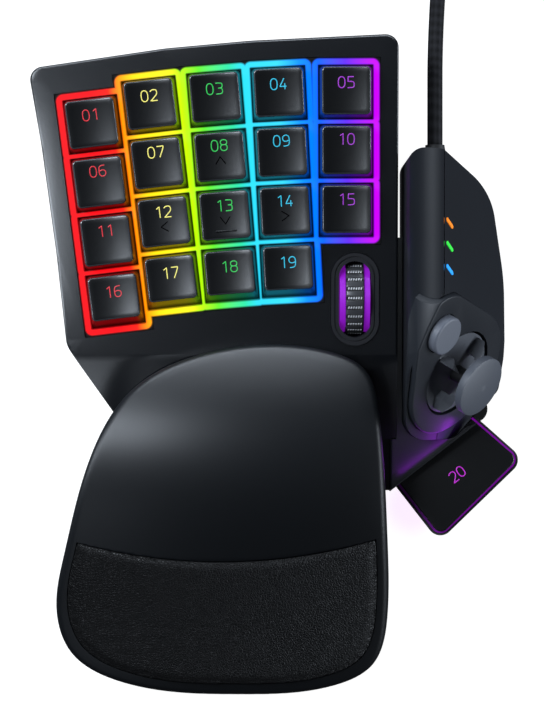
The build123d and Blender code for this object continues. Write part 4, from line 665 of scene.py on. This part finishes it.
# Painted highlight: a lighter, glossier copy of the cap plastic on the rims, for the light their edges
# catch.
rim_highlight_plastic = moulded("keycap rim painted highlight", (0.028, 0.031, 0.036), 0.25, 3200, 0.03, gleam=0.9)
cap_trees = {}
for number, (row, column) in enumerate(key_grid, 1):
    shape = cap_shape(row)
    cap_trees[number] = BVHTree.FromBMesh(shape)
    stem_length = stem_reach + cap_rise - cap_roof - cap_dish / 2
    stem = bmesh.ops.create_cone(
        shape, cap_ends=True, segments=24, radius1=stem_radius, radius2=stem_radius, depth=stem_length,
    )
    bmesh.ops.translate(shape, vec=(0, 0, stem_length / 2 - stem_reach), verts=stem["verts"])
    shape.transform(key_matrix(column, row))
    cap_mesh = shaped_mesh(f"cap_{number:02d}", shape, smooth_up_to)
    cap_mesh.materials.append(cap_plastic)
    cap_mesh.materials.append(rim_highlight_plastic)
    cap = add_object(f"cap_{number:02d}", cap_mesh)
    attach(cap, f"key_{number:02d}")
    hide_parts(f"keycap_{number:02d}")

# Legends: thin numerals etched through the paint of each cap, lit from below, and dark painted arrows on
# the four caps that steer. The thirteenth has a raised bar for the finger to find.
stroke_radius = 0.00016
stroke_flatness = 0.2
homing_number = 13
homing_radius = 0.00032
legend_tone_scale = 500
legend_shade = 0.8
numeral_height = 0.0033
numeral_width = 0.0020
numeral_step = 0.0028
legend_lift = 0.00004
digit_strokes = {
    "0": [(True, [(0, 0.2), (0, 0.8), (0.3, 1), (0.7, 1), (1, 0.8), (1, 0.2), (0.7, 0), (0.3, 0)])],
    "1": [(False, [(0.25, 0.82), (0.7, 1), (0.7, 1), (0.7, 0)])],
    "2": [
        (False, [(0, 0.84), (0.15, 1), (0.85, 1), (1, 0.84), (1, 0.62), (0.8, 0.45), (0, 0), (0, 0),
                 (1, 0)]),
    ],
    "3": [
        (False, [(0, 1), (0.8, 1), (1, 0.9), (1, 0.63), (0.8, 0.53), (0.35, 0.53)]),
        (False, [(0.35, 0.53), (0.8, 0.53), (1, 0.42), (1, 0.12), (0.8, 0), (0, 0)]),
    ],
    "4": [
        (False, [(0.65, 1), (0.65, 1), (0, 0.26), (0, 0.26), (1, 0.26)]),
        (False, [(0.75, 0.55), (0.75, 0)]),
    ],
    "5": [
        (False, [(0.95, 1), (0.1, 1), (0.1, 1), (0.05, 0.57), (0.05, 0.57), (0.75, 0.57), (1, 0.47),
                 (1, 0.12), (0.8, 0), (0, 0)]),
    ],
    "6": [
        (False, [(0.9, 1), (0.3, 1), (0, 0.8), (0, 0.18), (0.3, 0), (0.7, 0), (1, 0.18), (1, 0.43),
                 (0.75, 0.57), (0.3, 0.57), (0, 0.46)]),
    ],
    "7": [(False, [(0, 1), (1, 1), (1, 1), (1, 0.86), (0.35, 0)])],
    "8": [
        (True, [(0.25, 0.54), (0.02, 0.64), (0.02, 0.9), (0.3, 1), (0.7, 1), (0.98, 0.9), (0.98, 0.64),
                (0.75, 0.54)]),
        (True, [(0.25, 0.54), (0, 0.43), (0, 0.14), (0.3, 0), (0.7, 0), (1, 0.14), (1, 0.43), (0.75, 0.54)]),
    ],
}
digit_strokes["9"] = [(closed, [(1 - x, 1 - y) for x, y in line]) for closed, line in digit_strokes["6"]]
arrow_strokes = {
    8: [(False, [(-0.0015, -0.0011), (0, 0.0011), (0, 0.0011), (0.0015, -0.0011)])],
    12: [(False, [(0.0011, -0.0015), (-0.0011, 0), (-0.0011, 0), (0.0011, 0.0015)])],
    13: [(False, [(-0.0015, 0.0011), (0, -0.0011), (0, -0.0011), (0.0015, 0.0011)])],
    14: [(False, [(-0.0011, -0.0015), (0.0011, 0), (0.0011, 0), (-0.0011, 0.0015)])],
}
numeral_heights = (0.0029, 0.0037, 0.0034, 0.0027)
arrow_drop = 0.0045


def strokes_mesh(name, strokes, radius, flatness=stroke_flatness):
    """Smooth thin strokes in a plane, from their control points, pressed flat."""
    curve = bpy.data.curves.new(name, "CURVE")
    curve.dimensions = "3D"
    curve.bevel_depth = radius
    curve.bevel_resolution = 1
    curve.resolution_u = 4
    for closed, points in strokes:
        line = curve.splines.new("NURBS")
        line.points.add(len(points) - 1)
        for point, (x, y) in zip(line.points, points):
            point.co = (x, y, 0, 1)
        line.order_u = 3
        line.use_cyclic_u = closed
        line.use_endpoint_u = not closed
    pattern = bpy.data.objects.new(name, curve)
    mesh = bpy.data.meshes.new_from_object(pattern)
    bpy.data.objects.remove(pattern)
    mesh.transform(Matrix.Diagonal((1, 1, flatness, 1)))
    return mesh


def numeral_strokes(text, middle):
    """The strokes of a two-figure numeral about a point."""
    strokes = []
    for place, figure in enumerate(text):
        left = middle[0] + (place - len(text) / 2) * numeral_step + (numeral_step - numeral_width) / 2
        low = middle[1] - numeral_height / 2
        for closed, points in digit_strokes[figure]:
            line = [(left + x * numeral_width, low + y * numeral_height) for x, y in points]
            strokes.append((closed, line))
    return strokes


def lit(name, colour, strength):
    """A lit legend or lamp: its own colour in the plastic, and the same colour as light."""
    material, tree, shader, place = new_material(name)
    shader.inputs["Roughness"].default_value = 0.4
    shader.inputs["Emission Strength"].default_value = strength
    tone = noise_node(tree, place.outputs["Object"], legend_tone_scale)
    mix = mix_node(tree, tone["Fac"], shade(colour, legend_shade), shade(colour, 1))
    for socket in ("Base Color", "Emission Color"):
        tree.links.new(mix, shader.inputs[socket])
    return material


column_inks = [
    lit("red legend", (0.50, 0.02, 0.03), 0.55), lit("yellow legend", (0.72, 0.64, 0.14), 0.55),
    lit("green legend", (0.02, 0.38, 0.06), 0.6), lit("cyan legend", (0.02, 0.36, 0.50), 0.6),
    lit("violet legend", (0.27, 0.03, 0.42), 0.5),
]
arrow_ink = moulded("arrow paint", (0.0005, 0.0005, 0.0005), 0.8, gleam=0.02)
bar_strokes = [(False, [(-0.0031, -0.0043), (0.0031, -0.0043)])]
for number, (row, column) in enumerate(key_grid, 1):
    numeral = numeral_strokes(f"{number:02d}", (0, numeral_heights[row]))
    parts = [("numeral", numeral, stroke_radius, stroke_flatness, column_inks[column])]
    if number in arrow_strokes:
        moved = [(closed, [(x, y + numeral_heights[row] - arrow_drop) for x, y in points])
                 for closed, points in arrow_strokes[number]]
        parts.append(("arrow", moved, stroke_radius, stroke_flatness, arrow_ink))
    if number == homing_number:
        parts.append(("homing_bar", bar_strokes, homing_radius, 1, cap_plastic))
    for kind, strokes, radius, flatness, ink in parts:
        mesh = strokes_mesh(f"{kind}_{number:02d}", strokes, radius, flatness)
        for vert in mesh.vertices:
            above = Vector((vert.co.x, vert.co.y, 2 * cap_rise))
            vert.co.z += cap_trees[number].ray_cast(above, Vector((0, 0, -1)))[0].z + legend_lift
        mesh.transform(key_matrix(column, row))
        mesh.materials.append(ink)
        legend = add_object(f"{kind}_{number:02d}", mesh)
        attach(legend, f"key_{number:02d}")

# Scroll wheel: a satin rubber tyre with smooth pads and, between them, rows of small slanted ribs; the rows
# are painted near black as painted shade, and the ribs pale silver as painted glints. It is pushed on a
# clear hub that is lit violet from inside. The bezel ring round it snaps into the deck.
tyre_low, tyre_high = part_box("scroll_tyre")
wheel_middle = (Vector(tyre_low) + Vector(tyre_high)) / 2
tyre_radius = (tyre_high[1] - tyre_low[1]) / 2
tyre_half = (tyre_high[0] - tyre_low[0]) / 2
tyre_pads = 24
steps_in_pad = 10
row_steps = 4
row_sink = 0.0003
rib_count = 6
grooved_share = 0.9
rib_share = 0.82
rib_slant = -20
rib_size = (0.00042, 0.00075, 0.00056)
rib_edge = 0.00008
tyre_section = [
    (-1, 0.0008), (-1, 0.0004), (-0.92, 0.0001), (-0.8, 0), (0, -0.0001), (0.8, 0), (0.92, 0.0001),
    (1, 0.0004), (1, 0.0008),
]
tyre_shape = bmesh.new()
tyre_loops = []
for step in range(tyre_pads * steps_in_pad):
    turn = Matrix.Rotation(2 * math.pi * step / (tyre_pads * steps_in_pad), 3, "X")
    sink = row_sink if step % steps_in_pad < row_steps else 0
    loop = []
    for across, drop in tyre_section:
        sunk = sink if abs(across) < grooved_share else 0
        place = Vector((across * tyre_half, 0, tyre_radius - row_sink / 3 - drop - sunk))
        loop.append(tyre_shape.verts.new(wheel_middle + turn @ place))
    tyre_loops.append(loop)
for step, (loop, after) in enumerate(zip(tyre_loops, tyre_loops[1:] + tyre_loops[:1])):
    for index in range(len(loop)):
        beside = (index + 1) % len(loop)
        face = tyre_shape.faces.new((loop[index], after[index], after[beside], loop[beside]))
        face.material_index = int(step % steps_in_pad < row_steps)
bmesh.ops.recalc_face_normals(tyre_shape, faces=tyre_shape.faces)
tyre_mesh = shaped_mesh("ribbed_tyre", tyre_shape, 40)
tyre_mesh.materials.append(moulded("tyre rubber", (0.06, 0.062, 0.067), 0.34, 2200, 0.03, metal=0.3))
# Painted shade: the sunk rows between the pads take a near-black copy of the rubber.
tyre_mesh.materials.append(moulded("tyre groove painted shade", (0.002, 0.002, 0.002), 0.6))
tyre = add_object("ribbed_tyre", tyre_mesh)
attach(tyre, "scroll_wheel")
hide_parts("scroll_tyre")

rib_shape = bmesh.new()
for pad in range(tyre_pads):
    angle = 2 * math.pi * (pad * steps_in_pad + (row_steps - 1) / 2) / (tyre_pads * steps_in_pad)
    for rib in range(rib_count):
        across = (rib + 0.5) / rib_count * 2 - 1
        place = Matrix.Translation(wheel_middle) @ Matrix.Rotation(angle, 4, "X")
        place @= Matrix.Translation((across * tyre_half * rib_share, 0, tyre_radius - row_sink))
        place @= Matrix.Rotation(math.radians(rib_slant), 4, "Z") @ Matrix.Diagonal((*rib_size, 1))
        bmesh.ops.create_cube(rib_shape, size=1, matrix=place)
bmesh.ops.bevel(rib_shape, geom=rib_shape.edges[:], offset=rib_edge, segments=1, profile=0.5, affect="EDGES")
rib_mesh = shaped_mesh("tyre_ribs", rib_shape)
# Painted highlight: the ribs are coloured pale silver and half metal, for the glints along them.
rib_mesh.materials.append(moulded("rib rubber painted glint", (0.75, 0.76, 0.78), 0.4, 2200, 0.03, metal=0.5))
ribs = add_object("tyre_ribs", rib_mesh)
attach(ribs, "scroll_wheel")
dress(["scroll_hub"], lit("lit hub", (0.24, 0.008, 0.46), 0.55))

# Control panel: the pod's moulded face, with an eight-way pad, a soft-touch stick cap pushed on the pad, a
# round button and three lamps. The stick cap is grey on top, and its colour turns near black below its rim.
dress(["control_panel"], moulded("panel plastic", (0.014, 0.016, 0.020), 0.42, gleam=0.22), 28, 0.0003)
dress(["thumb_pad"], moulded("pad plastic", (0.075, 0.080, 0.092), 0.3), 20, 0.0003)
dress(["mode_button"], moulded("button grey", (0.105, 0.115, 0.140), 0.5, 1800, 0.15), 40, 0.0005)
stick_grey = moulded("soft-touch grey", (0.060, 0.067, 0.083), 0.5, 1800, 0.15)
stick_axis = Vector((0.7189, -0.4320, 0.5446))
stick_reach = max(vert.co.dot(stick_axis) for vert in nodes["stick_cap"].data.vertices)
stick_rim = 0.0033
stick_fade = 0.0003
stick_under_rim = (0.004, 0.004, 0.005, 1)
stick_tree = stick_grey.node_tree
stick_colour = stick_tree.nodes["Principled BSDF"].inputs["Base Color"]
stick_place = stick_tree.nodes.new("ShaderNodeTexCoord")
stick_height = stick_tree.nodes.new("ShaderNodeVectorMath")
stick_height.operation = "DOT_PRODUCT"
stick_height.inputs[1].default_value = stick_axis
stick_tree.links.new(stick_place.outputs["Object"], stick_height.inputs[0])
stick_low = stick_reach - stick_rim - stick_fade
stick_step = range_node(stick_tree, stick_height.outputs["Value"], stick_low, stick_reach - stick_rim)
stick_mix = mix_node(stick_tree, stick_step, stick_under_rim, stick_colour.links[0].from_socket)
stick_tree.links.new(stick_mix, stick_colour)
dress(["stick_cap"], stick_grey, 60, 0.0006)


def lamp_row(name, colours, first_y, step, strength):
    """One plastic for a row of lamps along Y, each lit in its own colour."""
    material = lit(name, colours[0], strength)
    tree = material.node_tree
    place = tree.nodes.new("ShaderNodeTexCoord")
    along = split_node(tree, place.outputs["Object"])["Y"]
    share = range_node(tree, along, first_y + step / 2, first_y + step / 2 - step * len(colours))
    stops = [(index / len(colours), colour) for index, colour in enumerate(colours)]
    ramp = ramp_node(tree, share, stops, "CONSTANT")
    for socket in ("Base Color", "Emission Color"):
        tree.links.new(ramp, tree.nodes["Principled BSDF"].inputs[socket])
    return material


lamp_colours = ((0.75, 0.20, 0.01), (0.03, 0.60, 0.05), (0.02, 0.30, 0.85))
lamp_first = 0.0433
lamp_step = 0.0069
dress(["profile_lights"], lamp_row("profile lamp", lamp_colours, lamp_first, lamp_step, 0.7))

# Twentieth key: a broad cap for the thumb on a clear plate that lights its rim, with the same etched
# numeral, turned with the key. The lever under it swings on a pin along the key's upper edge.
rim_dim_x = 0.046
rim_bright_x = 0.058
rim_dim = 0.03
rim_bright = 0.6
thumb_place = (0.048, -0.0253)
thumb_turn = 37.9
thumb_numeral_place = (0.001, -0.0108)
glow_from = (-0.001, -0.0005, 0.010)
glow_to = (-0.001, 0.012, 0.010)
dress(["keycap_20"], cap_plastic)
thumb_light = lit("thumb key light", (0.20, 0.0, 0.32), 0.6)
thumb_tree = thumb_light.node_tree
thumb_coordinates = thumb_tree.nodes.new("ShaderNodeTexCoord")
thumb_across = split_node(thumb_tree, thumb_coordinates.outputs["Object"])["X"]
thumb_fade = range_node(thumb_tree, thumb_across, rim_dim_x, rim_bright_x, rim_dim, rim_bright, smooth=True)
thumb_tree.links.new(thumb_fade, thumb_tree.nodes["Principled BSDF"].inputs["Emission Strength"])
dress(["thumb_key_light"], thumb_light)
thumb_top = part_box("keycap_20")[1][2]
thumb_rotation = Matrix.Rotation(math.radians(thumb_turn), 4, "Z")
thumb_matrix = Matrix.Translation((*thumb_place, thumb_top)) @ thumb_rotation
thumb_mesh = strokes_mesh("numeral_20", numeral_strokes("20", thumb_numeral_place), stroke_radius)
thumb_mesh.transform(thumb_matrix @ Matrix.Translation((0, 0, legend_lift)))
thumb_mesh.materials.append(lit("magenta legend", (0.45, 0.02, 0.50), 0.6))
thumb_numeral = add_object("numeral_20", thumb_mesh)
glow_ends = [thumb_matrix @ Vector(end) for end in (glow_from, glow_to)]
soft_box("violet_glow", *glow_ends, 0.026, 0.003, 0.0025, (0.45, 0.02, 1.0))
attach(thumb_numeral, "key_20")

# Palm rest: a domed satin shell on a flat base. The front of it is sunk for a pad of pebbled leather over
# foam, glued down all round, so that the foam swells its top a little and rounds its edges.
pebble_scale = 1350
pebble_warp = (0.001, 0.001, 0.001)
crease_width = 0.22
crease_painted_shade = 0.4
crease_roughness = 0.7
pebble_roughness = 0.42
pebble_bump = 0.65
pebble_height = 0.0002
voxel_size = 0.0007
glued_below = -0.2
foam_pressure = 4
swell_frames = 20
most_swell = 0.0009
smooth_steps = 24
upright_limit = 0.2
roll_width = 0.0032
roll_drop = 0.0004
snap_reach = 0.0009
snap_inset = 0.0001
beside_wall = 0.0008
above_all = 0.1
dress(["palm_shell", "palm_base"], moulded("palm rest plastic", (0.0018, 0.0022, 0.0028), 0.42, gleam=0.21))


def leather(name, colour):
    """Pebbled leather: cells between fine creases, painted darker in the creases as painted shade, dull
    there and glossier on the pebbles.
    """
    material, tree, shader, place = new_material(name)
    shader.inputs["Specular IOR Level"].default_value = 0.25
    warp = noise_node(tree, place.outputs["Object"], pebble_scale / 3)
    shift = tree.nodes.new("ShaderNodeVectorMath")
    shift.operation = "MULTIPLY_ADD"
    shift.inputs[1].default_value = pebble_warp
    tree.links.new(warp["Color"], shift.inputs[0])
    tree.links.new(place.outputs["Object"], shift.inputs[2])
    cells = tree.nodes.new("ShaderNodeTexVoronoi")
    cells.feature = "DISTANCE_TO_EDGE"
    cells.inputs["Scale"].default_value = pebble_scale
    tree.links.new(shift.outputs[0], cells.inputs["Vector"])
    crease = range_node(tree, cells.outputs["Distance"], 0, crease_width, smooth=True)
    # Painted shade: the creases between the pebbles are coloured darker.
    mix = mix_node(tree, crease, shade(colour, crease_painted_shade), shade(colour, 1))
    tree.links.new(mix, shader.inputs["Base Color"])
    gloss = range_node(tree, crease, 0, 1, crease_roughness, pebble_roughness)
    tree.links.new(gloss, shader.inputs["Roughness"])
    add_bump(tree, shader, crease, pebble_bump, pebble_height)
    return material


def evaluated_mesh(piece):
    """A mesh of the piece as its modifiers leave it."""
    depsgraph = bpy.context.evaluated_depsgraph_get()
    return bpy.data.meshes.new_from_object(piece.evaluated_get(depsgraph), depsgraph=depsgraph)


cushion = add_object("leather_cushion", nodes["palm_cushion"].data.copy())
remesh = cushion.modifiers.new("foam", "REMESH")
remesh.mode = "VOXEL"
remesh.voxel_size = voxel_size
foam_mesh = evaluated_mesh(cushion)
cushion.modifiers.clear()
cushion.data = foam_mesh
glued = cushion.vertex_groups.new(name="glued")
glued.add([vert.index for vert in foam_mesh.vertices if vert.normal.z < glued_below], 1, "REPLACE")
swell = cushion.modifiers.new("swell", "CLOTH")
swell.settings.use_pressure = True
swell.settings.uniform_pressure_force = foam_pressure
swell.settings.effector_weights.gravity = 0
swell.settings.vertex_group_mass = "glued"
swell.settings.quality = 4
swell.point_cache.frame_end = swell_frames
for shot in range(1, swell_frames + 1):
    bpy.context.scene.frame_set(shot)
swollen = evaluated_mesh(cushion)
for vert, after in zip(foam_mesh.vertices, swollen.vertices):
    move = after.co - vert.co
    if move.length > most_swell:
        move *= most_swell / move.length
    vert.co += move
cushion.modifiers.clear()
bpy.context.scene.frame_set(1)
smooth = cushion.modifiers.new("smooth", "SMOOTH")
smooth.iterations = smooth_steps
rolled_mesh = evaluated_mesh(cushion)
cushion.modifiers.clear()
cushion.data = rolled_mesh
block_mesh = nodes["palm_cushion"].data
sides = [list(face.vertices) for face in block_mesh.polygons if abs(face.normal.z) < upright_limit]
side_tree = BVHTree.FromPolygons([vert.co for vert in block_mesh.vertices], sides)
shell_mesh = nodes["palm_shell"].data
shell_faces = [list(face.vertices) for face in shell_mesh.polygons]
shell_tree = BVHTree.FromPolygons([vert.co for vert in shell_mesh.vertices], shell_faces)
for vert in rolled_mesh.vertices:
    wall_point, wall_normal, _, wall_distance = side_tree.find_nearest(vert.co)
    if wall_distance > roll_width:
        continue
    if vert.normal.z > glued_below:
        over = wall_point + wall_normal * beside_wall
        shell_point = shell_tree.ray_cast(Vector((over.x, over.y, above_all)), Vector((0, 0, -1)))[0]
        if shell_point:
            weight = 1 - math.sqrt(1 - (1 - wall_distance / roll_width) ** 2)
            vert.co.z += weight * (shell_point.z - roll_drop - vert.co.z)
    if wall_distance < snap_reach:
        vert.co.xy = (wall_point - wall_normal * snap_inset).xy
cushion.modifiers.new("fine", "SUBSURF").levels = 1
cushion.data.polygons.foreach_set("use_smooth", [True] * len(cushion.data.polygons))
cushion.data.materials.clear()
cushion.data.materials.append(leather("black leather", (0.0019, 0.0019, 0.0022)))
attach(cushion, "palm_rest")
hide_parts("palm_cushion")
